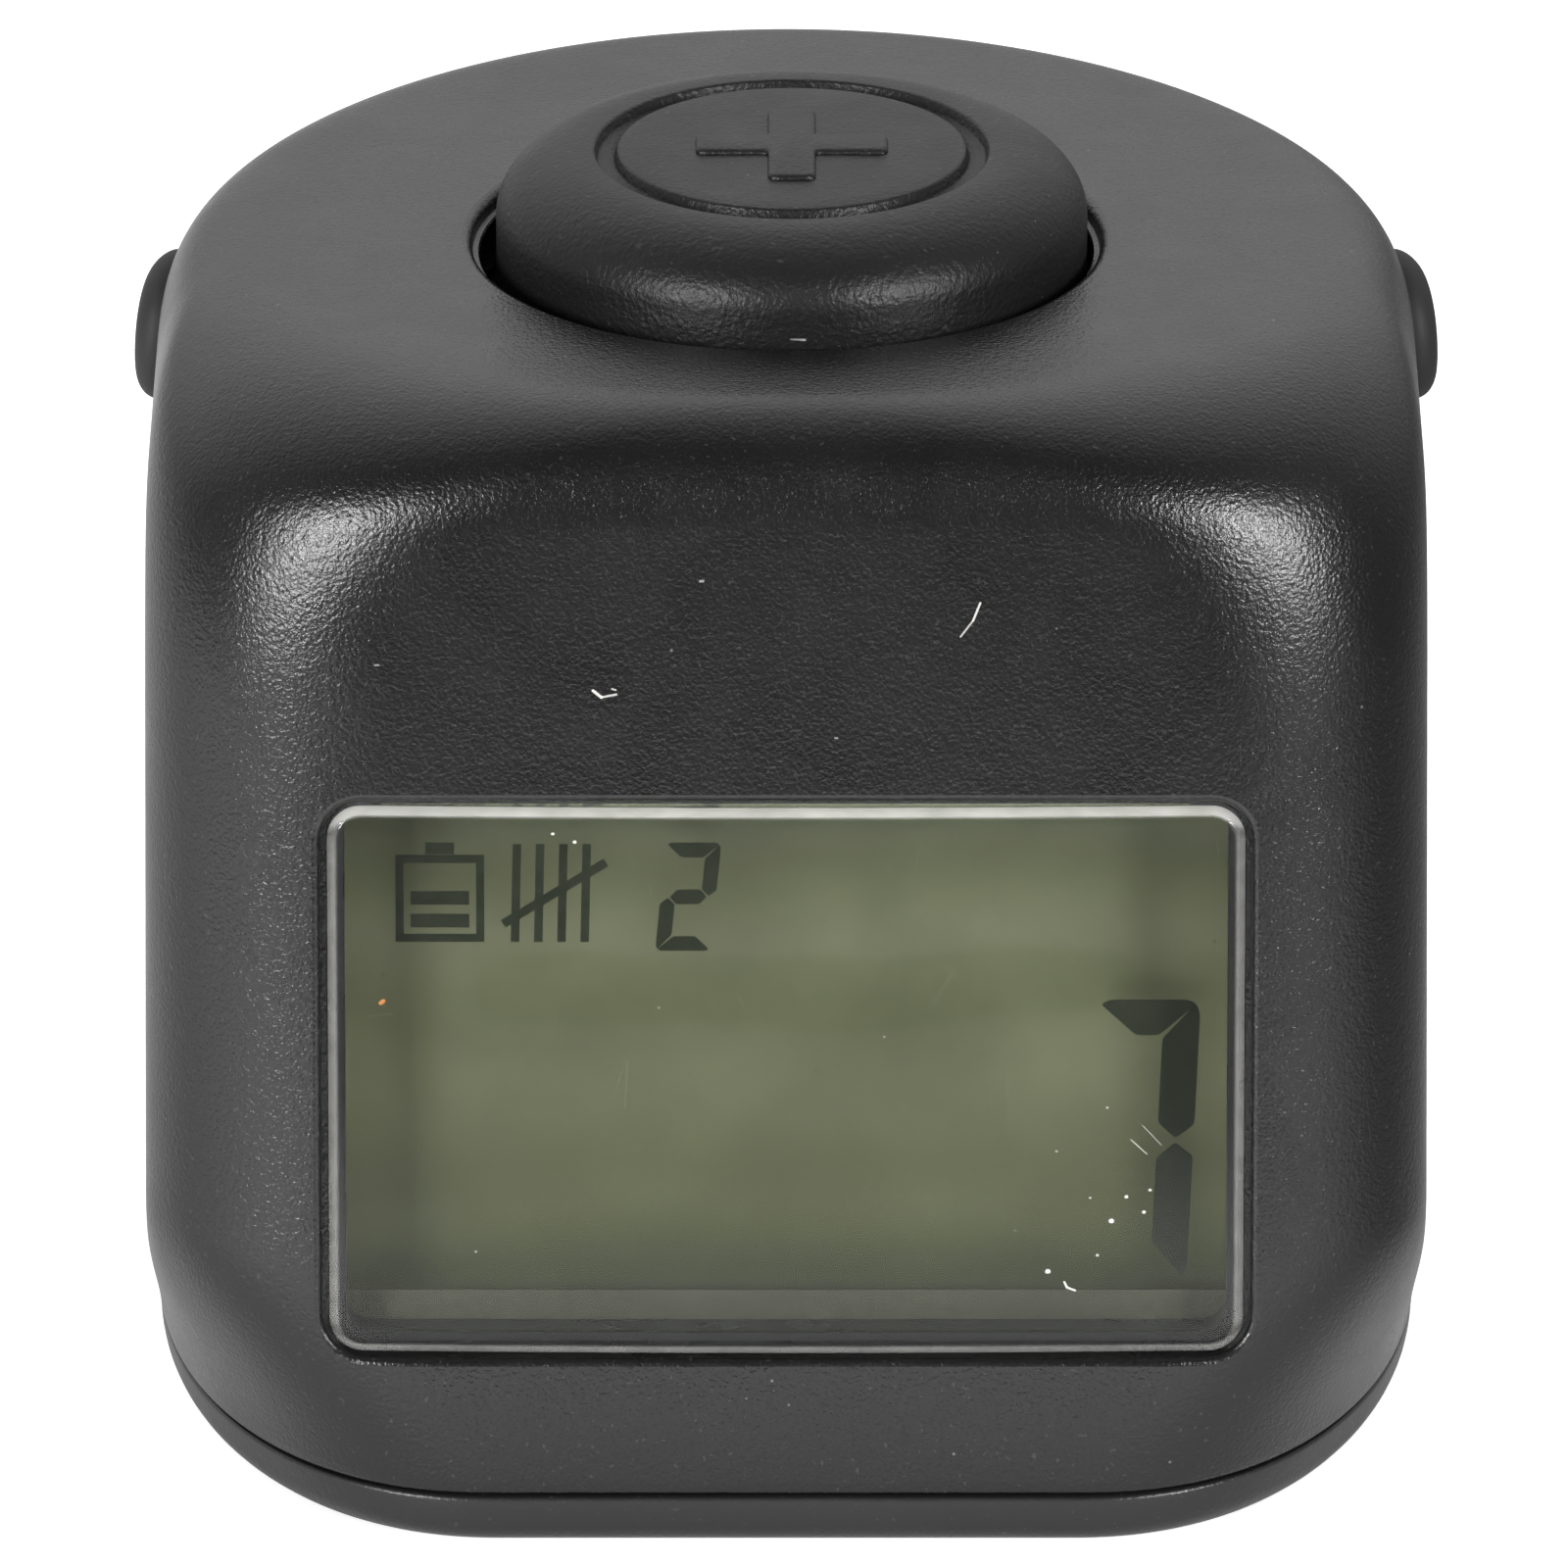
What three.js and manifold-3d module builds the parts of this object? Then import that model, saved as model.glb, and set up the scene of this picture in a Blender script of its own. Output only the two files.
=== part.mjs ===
// Digital finger tally counter: a squat moulded case with a leaning display face, one large round
// count button on top, two small side buttons, and the display, switches and cell inside.
// Units are millimetres, +Z up, -Y towards the display face, +X to the right seen from that face.
// The solids are drawn about the count button's axis and moved along Y at the end, so that the
// origin is the middle of the base.
import * as THREE from 'three';
import { mergeVertices } from 'three/addons/utils/BufferGeometryUtils.js';
import Module from 'manifold-3d';

const wasm = await Module();
wasm.setup();
const { Manifold, Mesh } = wasm;

// ---------------------------------------------------------------- driving dimensions
// "depth" is the distance from the button axis along Y. A "power" is a superellipse exponent:
// 2 is a true ellipse, more is squarer. "basePull" draws the outline in at the foot.
const CASE_TOP = 30.85; // plateau around the count button
const SIDE = {
  halfWidth: 17.1, topHalfWidth: 13.1, roundHeight: 6.5, roundPower: 4.18, draft: 0.2,
  basePull: 0.11,
};
const FRONT = {
  depth: 18.25, topDepth: 11.8, lean: 7.17, // lean in degrees
  roundHeight: 2.9, roundPower: 2.2, basePull: 0.41,
};
const REAR = {
  depth: 17.6, topDepth: 15.9, roundHeight: 1.8, roundPower: 2.0, basePull: 0.3,
  topPower: 2, midPower: 2.6, basePower: 2.6, powerHeight: 6,
};
const BASE_PULL_HEIGHT = 6.4;
// front corners: "flat" is the share of the half width over which the front is flat
const CORNER = {
  power: 2.15, midFlat: 0.61, baseFlat: 0.447, midDepth: 5.05, baseDepth: 16.9,
  lowHeight: 8.2, highHeight: 8.2, highPower: 2.2,
};
const CASE_POINTS = 68; // points in a ring of the outer skin
const LINER_POINTS = 44; // points in a ring of an inner wall
const BASE_FILLET = 0.7;
const PARTING_Z = 1.45;
const PARTING_GAP = 0.16;
const WALL = 1.8;
const ROOF = 2.0;

const CAP = {
  holeRadius: 8.5, radius: 8.0, offsetX: 0.15, top: 33.35, edgeRadius: 2.5, innerRadius: 6.6,
  roofUnderside: 30.25, crown: 0.08, flangeRadius: 9.3, flangeTop: 28.55, flangeBottom: 27.75,
  stemRadius: 2.2, stemFlare: 0.2, stemBottom: 27.0,
};
const GROOVE = { outer: 5.33, inner: 4.72, depth: 0.3, wallRun: 0.08 }; // ring in the cap's top
const PLUS = { length: 5.2, width: 1.3, height: 0.2, sunk: 0.5 };

// side buttons: round keys whose ends follow the case's side and stand proud of it
const KEY = {
  y: 4.0, z: 26.75, radius: 2.05, proud: 0.72, edge: 0.85, drop: 0.62, back: 15.6,
  stemRadius: 1.2,
};

// display, in face coordinates: u across, v up the leaning face, d inwards from it
const LENS = {
  halfWidth: 12.05, bottom: 5.68, top: 20.67, cornerRadius: 0.8, proud: 0.12, back: 0.85,
  bow: 0.28,
};
const POCKET = { gap: 0.22, depth: 1.0 };
const WINDOW_MARGIN = 0.3;
const BAY = { halfWidth: 12.95, d: [2.2, 9], v: [3.6, 22.4] }; // recess behind the face
const DISPLAY_SCREW = { u: 13.95, v: 13.2 };

const FRONT_BOSS = { x: 12.7, y: -5.0 };
const REAR_BOSS = { x: 10.3, y: 10.6 };
const BOSS_RADIUS = 2.0;
const POST = { x: 11.3, y: -0.6 };
const POST_RADIUS = 1.5;
const CELL = { y: 0.5, radius: 5.8, bottom: 1.6, height: 5.4 };
const DOOR = { radius: 7.6, tabHalfWidth: 2.6, screwY: 10.7, gap: 0.2 };
const PCB_Z = 21.25;
const PCB_TOP = PCB_Z + 1.0;
const Y_SHIFT = 0.12; // brings the origin to the middle of the base

const sidePair = (prefix, { x, y }) => [
  { name: `${prefix}left`, x: -x, y },
  { name: `${prefix}right`, x, y },
];
const BOSSES = [...sidePair('front_', FRONT_BOSS), ...sidePair('rear_', REAR_BOSS)];
const POSTS = sidePair('', POST);

// ---------------------------------------------------------------- helpers
const radians = (degrees) => degrees * Math.PI / 180;
const span = (centre, half) => [centre - half, centre + half];
function smooth(value) {
  const t = Math.min(1, Math.max(0, value));
  return t * t * (3 - 2 * t);
}

// closed triangle mesh, turned outside out if its signed volume is negative
function fromTriangles(positions, indices) {
  const corner = (i) => positions.slice(indices[i] * 3, indices[i] * 3 + 3);
  let volume = 0;
  for (let i = 0; i < indices.length; i += 3) {
    const [a, b, c] = [corner(i), corner(i + 1), corner(i + 2)];
    volume += a[0] * (b[1] * c[2] - b[2] * c[1])
      - a[1] * (b[0] * c[2] - b[2] * c[0])
      + a[2] * (b[0] * c[1] - b[1] * c[0]);
  }
  if (volume < 0) indices.reverse();
  return new Manifold(new Mesh({
    numProp: 3,
    vertProperties: Float32Array.from(positions),
    triVerts: Uint32Array.from(indices),
  }));
}

function fromGeometry(geometry) {
  geometry.deleteAttribute('normal');
  geometry.deleteAttribute('uv');
  const merged = mergeVertices(geometry, 1e-4);
  const source = merged.index.array;
  const indices = [];
  for (let i = 0; i < source.length; i += 3) {
    const [a, b, c] = source.slice(i, i + 3);
    if (a !== b && b !== c && a !== c) indices.push(a, b, c);
  }
  return fromTriangles(Array.from(merged.attributes.position.array), indices);
}

// rings of equal length, closed at both ends with a fan
function loft(rings) {
  const count = rings[0].length;
  const positions = rings.flat(2);
  const indices = [];
  for (let k = 0; k + 1 < rings.length; k++) {
    for (let i = 0; i < count; i++) {
      const here = k * count + i;
      const next = k * count + (i + 1) % count;
      indices.push(here, next, next + count, here, next + count, here + count);
    }
  }
  for (const k of [0, rings.length - 1]) {
    const centre = positions.length / 3;
    for (const axis of [0, 1, 2]) {
      positions.push(rings[k].reduce((sum, point) => sum + point[axis], 0) / count);
    }
    for (let i = 0; i < count; i++) {
      const here = k * count + i;
      const next = k * count + (i + 1) % count;
      if (k === 0) indices.push(centre, next, here);
      else indices.push(centre, here, next);
    }
  }
  return fromTriangles(positions, indices);
}

// closed [radius, z] profile turned about the Z axis
function revolve(profile, segments) {
  const positions = [];
  const indices = [];
  const onAxis = profile.map(([radius]) => radius < 1e-6);
  const starts = profile.map(([radius, z], k) => {
    const start = positions.length / 3;
    for (let i = 0; i < (onAxis[k] ? 1 : segments); i++) {
      const angle = 2 * Math.PI * i / segments;
      positions.push(radius * Math.cos(angle), radius * Math.sin(angle), z);
    }
    return start;
  });
  const vertex = (k, i) => (onAxis[k] ? starts[k] : starts[k] + i % segments);
  for (let k = 0; k < profile.length; k++) {
    const next = (k + 1) % profile.length;
    if (onAxis[k] && onAxis[next]) continue;
    for (let i = 0; i < segments; i++) {
      if (!onAxis[k]) indices.push(vertex(k, i), vertex(k, i + 1), vertex(next, i + 1));
      if (!onAxis[next]) indices.push(vertex(k, i), vertex(next, i + 1), vertex(next, i));
    }
  }
  return fromTriangles(positions, indices);
}

const cylinder = (radius, [low, high], segments) =>
  revolve([[0, low], [radius, low], [radius, high], [0, high]], segments);
const cylinderX = (radius, x, y, z, segments) =>
  cylinder(radius, x, segments).rotate([0, 90, 0]).translate([0, y, z]);

// box from its [low, high] range on each axis
function box(...ranges) {
  const sizes = ranges.map(([low, high]) => high - low);
  const centre = ranges.map(([low, high]) => (low + high) / 2);
  return fromGeometry(new THREE.BoxGeometry(...sizes).translate(...centre));
}

const polygon = (points) => new THREE.Shape(points.map(([x, y]) => new THREE.Vector2(x, y)));
const extrude = (shape, depth, curveSegments = 5) =>
  fromGeometry(new THREE.ExtrudeGeometry(shape, { depth, bevelEnabled: false, curveSegments }));

// tube with a round section along a smooth curve through the points
function sweep(points, radius, steps, sides) {
  const curve = new THREE.CatmullRomCurve3(points.map((point) => new THREE.Vector3(...point)));
  const frames = curve.computeFrenetFrames(steps, false);
  const rings = [];
  for (let i = 0; i <= steps; i++) {
    const ring = [];
    for (let k = 0; k < sides; k++) {
      const angle = 2 * Math.PI * k / sides;
      ring.push(curve.getPointAt(i / steps)
        .addScaledVector(frames.normals[i], radius * Math.cos(angle))
        .addScaledVector(frames.binormals[i], radius * Math.sin(angle))
        .toArray());
    }
    rings.push(ring);
  }
  return loft(rings);
}

const union = (solids) => solids.reduce((sum, solid) => sum.add(solid));
const mirrorX = (solid) => solid.mirror([1, 0, 0]);
const bothSides = (solid) => solid.add(mirrorX(solid));
const atEach = (places, solid) => union(places.map(({ x, y }) => solid.translate([x, y, 0])));

// from face coordinates (u, d, v) to the leaning face
const onFace = (solid) => solid.rotate([-FRONT.lean, 0, 0]).translate([0, -FRONT.depth, 0]);
// a solid drawn along +Z, pointed inwards from the face at (u, v)
const intoFace = (solid, u, v) => onFace(solid.rotate([-90, 0, 0]).translate([u, 0, v]));

// rounded plate with the lens's outline, grown by a margin, in face coordinates
function lensPlate(grow, radius, [near, far], segments) {
  const x = LENS.halfWidth + grow - radius;
  const bottom = LENS.bottom - grow + radius;
  const top = LENS.top + grow - radius;
  const shape = new THREE.Shape();
  [[x, bottom], [x, top], [-x, top], [-x, bottom]].forEach(([cx, cy], i) => {
    shape.absarc(cx, cy, radius, radians(90 * (i - 1)), radians(90 * i), false);
  });
  return extrude(shape, far - near, segments).rotate([90, 0, 0]).translate([0, far, 0]);
}

const group = new THREE.Group();
function add(name, solid, material) {
  const { vertProperties, triVerts } = solid.translate([0, Y_SHIFT, 0]).getMesh();
  const geometry = new THREE.BufferGeometry();
  const positions = Float32Array.from(vertProperties);
  geometry.setAttribute('position', new THREE.BufferAttribute(positions, 3));
  geometry.setIndex(new THREE.BufferAttribute(Uint32Array.from(triVerts), 1));
  const mesh = new THREE.Mesh(geometry, new THREE.MeshStandardMaterial({ name: material }));
  mesh.name = name;
  group.add(mesh);
}

// ---------------------------------------------------------------- the case's outline
// 0 at the plateau, growing to 1 where the top rounding ends
const roundIn = (below, height, power) =>
  (below >= height ? 1 : (1 - (1 - below / height) ** power) ** (1 / power));

function sectionAt(z) {
  const below = Math.max(0, CASE_TOP - z);
  const slope = Math.tan(radians(FRONT.lean));
  const foot = Math.max(0, 1 - z / BASE_PULL_HEIGHT) ** 2;
  const roundOf = (part) => roundIn(below, part.roundHeight, part.roundPower);

  const halfWidth = SIDE.topHalfWidth + (SIDE.halfWidth - SIDE.topHalfWidth) * roundOf(SIDE)
    + SIDE.draft * (1 - z / CASE_TOP) - SIDE.basePull * foot;
  const front = FRONT.depth - slope * z - FRONT.basePull * foot
    - (FRONT.depth - slope * CASE_TOP - FRONT.topDepth) * (1 - roundOf(FRONT));
  const rear = REAR.depth - (REAR.depth - REAR.topDepth) * (1 - roundOf(REAR))
    - REAR.basePull * foot;

  // the corner goes from its plateau shape to its middle shape, then to its base shape
  const toMid = roundIn(below, CORNER.highHeight, CORNER.highPower);
  const toBase = 1 - smooth(z / CORNER.lowHeight);
  const blend = (top, mid, base, t) => {
    const upper = top + (mid - top) * t;
    return upper + (base - upper) * toBase;
  };
  return {
    halfWidth,
    front,
    rear,
    flat: halfWidth * blend(0, CORNER.midFlat, CORNER.baseFlat, toMid),
    corner: blend(front, CORNER.midDepth, Math.min(CORNER.baseDepth, front), toMid),
    power: blend(REAR.topPower, REAR.midPower, REAR.basePower, smooth(below / REAR.powerHeight)),
  };
}

// whether (x, y), with x positive, lies within a section
function isWithin(section, x, y) {
  const { halfWidth, front, rear, flat, corner, power } = section;
  if (y >= 0) return (x / halfWidth) ** power + (y / rear) ** power <= 1;
  const across = Math.max(0, (x - flat) / (halfWidth - flat));
  const along = Math.max(0, (-y - (front - corner)) / corner);
  return across ** CORNER.power + along ** CORNER.power <= 1;
}

// largest value between low and high that is still inside, by halving
function findEdge(isInside, low, high, steps) {
  for (let k = 0; k < steps; k++) {
    const middle = (low + high) / 2;
    if (isInside(middle)) low = middle;
    else high = middle;
  }
  return low;
}

// ring of the section at height z, inset and laid at height ringZ
function outline(z, inset, count, ringZ) {
  const section = sectionAt(z);
  section.halfWidth -= inset;
  section.front -= inset;
  section.rear -= inset;
  section.corner -= inset * 0.5;
  return Array.from({ length: count }, (_, i) => {
    const angle = 2 * Math.PI * i / count;
    const [cos, sin] = [Math.cos(angle), Math.sin(angle)];
    const reach = findEdge((r) => isWithin(section, r * Math.abs(cos), r * sin), 2, 40, 36);
    return [reach * cos, reach * sin, ringZ];
  });
}
const caseRing = (z, inset = 0) => outline(z, inset, CASE_POINTS, z);
// inner walls follow the skin a roof's thickness higher up
const linerRing = (z, inset) => outline(z + ROOF, inset, LINER_POINTS, z);

// half width of the case at (y, z)
function sideX(y, z) {
  const section = sectionAt(z);
  return findEdge((x) => isWithin(section, x, y), 6, 20, 34);
}

// ---------------------------------------------------------------- housing
const ROUND_DEPTH = Math.max(
  SIDE.roundHeight, FRONT.roundHeight, REAR.roundHeight, CORNER.highHeight,
);
const ROUND_START = CASE_TOP - ROUND_DEPTH;
// heights through the top rounding, closing up towards the plateau
const roundLevels = (start, steps) => Array.from({ length: steps }, (_, i) =>
  start + ROUND_DEPTH * Math.sin((i + 1) / steps * Math.PI / 2));

function buildHousing() {
  const outerLevels = [
    PARTING_Z + PARTING_GAP / 2, 2.8, 4.4, 6.2, 8.2, 13, 19, 22.2, ROUND_START,
    ...roundLevels(ROUND_START, 9),
  ];
  const innerTop = ROUND_START - ROOF;
  const innerLevels = [PARTING_Z - 0.8, 2.4, 5, 12, 20, innerTop, ...roundLevels(innerTop, 6)];
  const outer = loft(outerLevels.map((z) => caseRing(z)));
  const inner = loft(innerLevels.map((z) => linerRing(z, WALL)));
  const bay = onFace(box(span(0, BAY.halfWidth), BAY.d, BAY.v));
  return outer.subtract(inner).subtract(bay)
    .add(housingSupports().intersect(outer))
    .subtract(housingOpenings())
    .subtract(housingPilotHoles());
}

// screw bosses, board posts, side button pads and display posts
function housingSupports() {
  return union([
    atEach(BOSSES, cylinder(BOSS_RADIUS, [2.35, 29.6], 20)),
    atEach(POSTS, cylinder(POST_RADIUS, [PCB_TOP + 0.1, 29.4], 18)),
    bothSides(box([13.75, 15.6], span(KEY.y, 3), [23.9, 29.0])),
    bothSides(intoFace(cylinder(1.05, [2.3, 6.0], 16), DISPLAY_SCREW.u, DISPLAY_SCREW.v)),
  ]);
}

// count button hole with a small chamfer, lens pocket and window, side button holes
function housingOpenings() {
  const rim = CAP.holeRadius + 0.25;
  const capHole = revolve([
    [0, 27.8], [CAP.holeRadius, 27.8], [CAP.holeRadius, CASE_TOP - 0.2],
    [rim, CASE_TOP + 0.05], [rim, 34], [0, 34],
  ], 48);
  const pocket = lensPlate(POCKET.gap, LENS.cornerRadius + 0.2, [-2, POCKET.depth], 5);
  const keyHole = cylinderX(KEY.radius + 0.15, [15.1, 19], KEY.y, KEY.z, 28);
  const stemHole = cylinderX(KEY.stemRadius + 0.2, [13, 16], KEY.y, KEY.z, 20);
  return union([
    capHole,
    onFace(pocket),
    onFace(lensPlate(-WINDOW_MARGIN, 0.6, [0, 4], 3)),
    bothSides(keyHole),
    bothSides(stemHole),
  ]);
}

function housingPilotHoles() {
  return union([
    bothSides(intoFace(cylinder(0.62, [3.4, 6.2], 12), DISPLAY_SCREW.u, DISPLAY_SCREW.v)),
    atEach(BOSSES, cylinder(0.8, [2.0, 9.0], 14)),
    atEach(POSTS, cylinder(0.65, [22, 26.1], 12)),
  ]);
}
add('housing', buildHousing(), 'case_plastic');

// ---------------------------------------------------------------- base cover and door
const atCell = (solid) => solid.translate([0, CELL.y, 0]);
const atDoorScrew = (solid) => solid.translate([0, DOOR.screwY, 0]);

// disc about the cell with a round-ended tab reaching back to the door screw
function doorBlank(radius, tabHalfWidth, z) {
  return atCell(cylinder(radius, z, 36))
    .add(box(span(0, tabHalfWidth), [CELL.y, DOOR.screwY], z))
    .add(atDoorScrew(cylinder(tabHalfWidth, z, 20)));
}

function buildBaseCover() {
  const rings = [];
  for (let i = 0; i <= 3; i++) {
    const angle = Math.PI / 2 * (1 - i / 3);
    const z = BASE_FILLET * (1 - Math.sin(angle));
    rings.push(caseRing(z, BASE_FILLET * (1 - Math.cos(angle))));
  }
  rings.push(caseRing(PARTING_Z - PARTING_GAP / 2));
  // raised lip that fits inside the housing wall
  const lipInset = WALL + 0.15;
  const innerInset = lipInset + 1.2;
  const lip = loft([linerRing(1.2, lipInset), linerRing(2.95, lipInset)])
    .subtract(loft([linerRing(2.2, innerInset), linerRing(3.1, innerInset)]));
  const body = union([
    loft(rings),
    lip,
    atCell(cylinder(7.3, [2.0, 8.8], 32)), // cell cup
    atDoorScrew(cylinder(2.0, [2.0, 5.2], 20)),
  ]);
  const cuts = [
    atCell(cylinder(6.15, [-1, 7.9], 32)),
    doorBlank(DOOR.radius + DOOR.gap, DOOR.tabHalfWidth + DOOR.gap, [-1, 1.2]),
    atDoorScrew(cylinder(0.65, [1.0, 4.6], 12)),
    box([5.75, 7.6], span(CELL.y, 1.5), [2.4, 9]), // slot for the side contact
    box([-5.45, -4.6], span(CELL.y, 1.3), [7.5, 9]), // slot for the top contact's tail
    atEach(BOSSES, cylinder(1.9, [-1, 1.25], 24)), // screw head recesses
    atEach(BOSSES, cylinder(1.05, [1, 4], 16)), // screw clearance
    atEach(BOSSES, cylinder(BOSS_RADIUS + 0.25, [2.2, 4], 20)), // lip relief around the bosses
  ];
  return cuts.reduce((solid, cut) => solid.subtract(cut), body);
}
add('base_cover', buildBaseCover(), 'case_plastic');

// Cross-recess screws.
// levels: head face, head edge, head underside, start of the tip taper, tip
// radii: head face, head, shank, tip
// recess: [half length of an arm, depth]
const SCREWS = {
  case: {
    levels: [0.2, 0.5, 1.2, 7.4, 8.0], radii: [1.35, 1.7, 0.75, 0.35], recess: [1.0, 0.6],
    segments: 16,
  },
  door: {
    levels: [0.05, 0.25, 0.55, 3.6, 4.1], radii: [1.2, 1.5, 0.6, 0.3], recess: [0.85, 0.4],
    segments: 16,
  },
  pcb: {
    levels: [20.3, 20.6, 21.2, 25.1, 25.6], radii: [1.1, 1.4, 0.6, 0.3], recess: [0.8, 0.45],
    segments: 14,
  },
  display: {
    levels: [7.65, 7.4, 6.94, 4.2, 3.7], radii: [0.8, 1.05, 0.58, 0.3], recess: [0.6, 0.35],
    segments: 14,
  },
};
function buildScrew({ levels, radii, recess, segments }) {
  const [face, edge, underside, taper, tip] = levels;
  const [faceRadius, headRadius, shankRadius, tipRadius] = radii;
  const [arm, depth] = recess;
  const into = Math.sign(tip - face);
  const ends = [face - 0.01 * into, face + depth * into];
  const z = [Math.min(...ends), Math.max(...ends)];
  const long = span(0, arm);
  const narrow = span(0, arm * 0.28);
  return revolve([
    [0, face], [faceRadius, face], [headRadius, edge], [headRadius, underside],
    [shankRadius, underside], [shankRadius, taper], [tipRadius, tip], [0, tip],
  ], segments).subtract(box(long, narrow, z).add(box(narrow, long, z)));
}

for (const { name, x, y } of BOSSES) {
  add(`case_screw_${name}`, buildScrew(SCREWS.case).translate([x, y, 0]), 'zinc_steel');
}

function buildDoor() {
  return doorBlank(DOOR.radius, DOOR.tabHalfWidth, [0, 1.15])
    .add(atCell(cylinder(5.85, [1.0, 1.5], 40)))
    .subtract(atDoorScrew(cylinder(1.65, [-1, 0.6], 24)))
    .subtract(atDoorScrew(cylinder(0.85, [0, 2], 16)))
    .subtract(box(span(0, 2.4), span(CELL.y - 5, 0.4), [-1, 0.45])); // finger nail groove
}
add('battery_door', buildDoor(), 'case_plastic');
add('battery_door_screw', atDoorScrew(buildScrew(SCREWS.door)), 'zinc_steel');

// ---------------------------------------------------------------- cell, contacts and wires
function buildCell() {
  const { radius, bottom, height } = CELL;
  const shoulder = bottom + 5.0;
  return atCell(revolve([
    [0, bottom], [radius - 0.4, bottom], [radius, bottom + 0.4], [radius, bottom + 4.7],
    [radius - 0.35, shoulder], [4.95, shoulder], [4.8, bottom + height], [0, bottom + height],
  ], 32));
}

const CONTACT_TOP = 10.2;
function buildNegativeContact() {
  const z = [7.15, 7.4];
  const width = span(CELL.y, 1);
  return cylinder(3.4, z, 24).translate([-0.4, CELL.y, 0])
    .add(box([-5.25, -2], width, z))
    .add(box([-5.25, -5.0], width, [7.15, CONTACT_TOP]));
}

function buildPositiveContact() {
  const width = span(CELL.y, 1.1);
  return box([5.87, 6.12], width, [2.7, CONTACT_TOP])
    .add(box([5.87, 7.0], width, [9.95, CONTACT_TOP]));
}

const WIRE_END = [CELL.y + 5.0, PCB_Z - 0.12]; // y, z just under the main board
// x, y, z along each wire, from its contact to the board
const NEGATIVE_PATH = [
  [-5.55, CELL.y, 9.2], [-6.3, CELL.y + 0.6, 11.5], [-6.9, CELL.y + 2.4, 15],
  [-6.2, CELL.y + 4.2, 18.5], [-6.0, ...WIRE_END],
];
const POSITIVE_PATH = [
  [6.5, CELL.y, 10.35], [6.6, CELL.y + 0.8, 12.4], [7.2, CELL.y + 2.6, 15.4],
  [6.6, CELL.y + 4.4, 18.6], [6.0, ...WIRE_END],
];
const buildWire = (path) => sweep(path, 0.45, 12, 6);
add('button_cell', buildCell(), 'cell_steel');
add('contact_negative', buildNegativeContact(), 'nickel_strip');
add('contact_positive', buildPositiveContact(), 'nickel_strip');
add('wire_negative', buildWire(NEGATIVE_PATH), 'wire_black');
add('wire_positive', buildWire(POSITIVE_PATH), 'wire_red');

// ---------------------------------------------------------------- count button
function buildCountButton() {
  const edgeCentre = CAP.radius - CAP.edgeRadius;
  const crownZ = (r) => CAP.top + CAP.crown * (1 - (r / edgeCentre) ** 2);
  const roundedEdge = Array.from({ length: 7 }, (_, i) => {
    const angle = radians(90 * i / 6);
    return [
      edgeCentre + CAP.edgeRadius * Math.cos(angle),
      CAP.top - CAP.edgeRadius + CAP.edgeRadius * Math.sin(angle),
    ];
  });
  const grooveFloor = CAP.top - GROOVE.depth;
  const cap = revolve([
    [0, CAP.stemBottom], [CAP.stemRadius, CAP.stemBottom],
    [CAP.stemRadius + CAP.stemFlare, CAP.roofUnderside], [CAP.innerRadius, CAP.roofUnderside],
    [CAP.innerRadius, CAP.flangeBottom], [CAP.flangeRadius, CAP.flangeBottom],
    [CAP.flangeRadius, CAP.flangeTop], [CAP.radius, CAP.flangeTop],
    ...roundedEdge,
    [GROOVE.outer, crownZ(GROOVE.outer)], [GROOVE.outer - GROOVE.wallRun, grooveFloor],
    [GROOVE.inner + GROOVE.wallRun, grooveFloor], [GROOVE.inner, crownZ(GROOVE.inner)],
    [2.4, crownZ(2.4)], [0, crownZ(0)],
  ], 44);
  const long = span(0, PLUS.length / 2);
  const wide = span(0, PLUS.width / 2);
  const z = [CAP.top - PLUS.sunk, CAP.top + PLUS.height];
  const plus = box(long, wide, z).add(box(wide, long, z));
  return cap.add(plus).translate([CAP.offsetX, 0, 0]);
}

function buildCountSpring() {
  const [bottom, top, radius, turns] = [PCB_TOP + 0.3, 29.95, 5.6, 4.5];
  const coil = Array.from({ length: 61 }, (_, i) => {
    const t = i / 60;
    const angle = 2 * Math.PI * turns * t;
    return [
      radius * Math.cos(angle) + CAP.offsetX, radius * Math.sin(angle),
      bottom + (top - bottom) * t,
    ];
  });
  return sweep(coil, 0.25, 66, 5);
}

const SWITCH_BOTTOM = PCB_TOP + 0.06; // the switches sit just clear of the board
function buildCountSwitch() {
  const leg = (y) => bothSides(box([2.5, 3.9], span(y, 0.35), [SWITCH_BOTTOM, PCB_TOP + 0.35]));
  return box(span(0, 3), span(0, 3), [SWITCH_BOTTOM, PCB_TOP + 3.3])
    .add(leg(-2.0))
    .add(leg(2.0))
    .subtract(cylinder(1.8, [PCB_TOP + 0.6, 27], 28));
}

function buildCountPlunger() {
  const bottom = PCB_TOP + 1.7;
  return revolve([[0, bottom], [1.68, bottom], [1.68, 26.8], [1.5, 26.95], [0, 26.95]], 24);
}
add('count_button', buildCountButton(), 'button_plastic');
add('count_spring', buildCountSpring(), 'spring_steel');
add('count_switch_body', buildCountSwitch(), 'switch_plastic');
add('count_switch_plunger', buildCountPlunger(), 'plunger_plastic');

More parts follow.
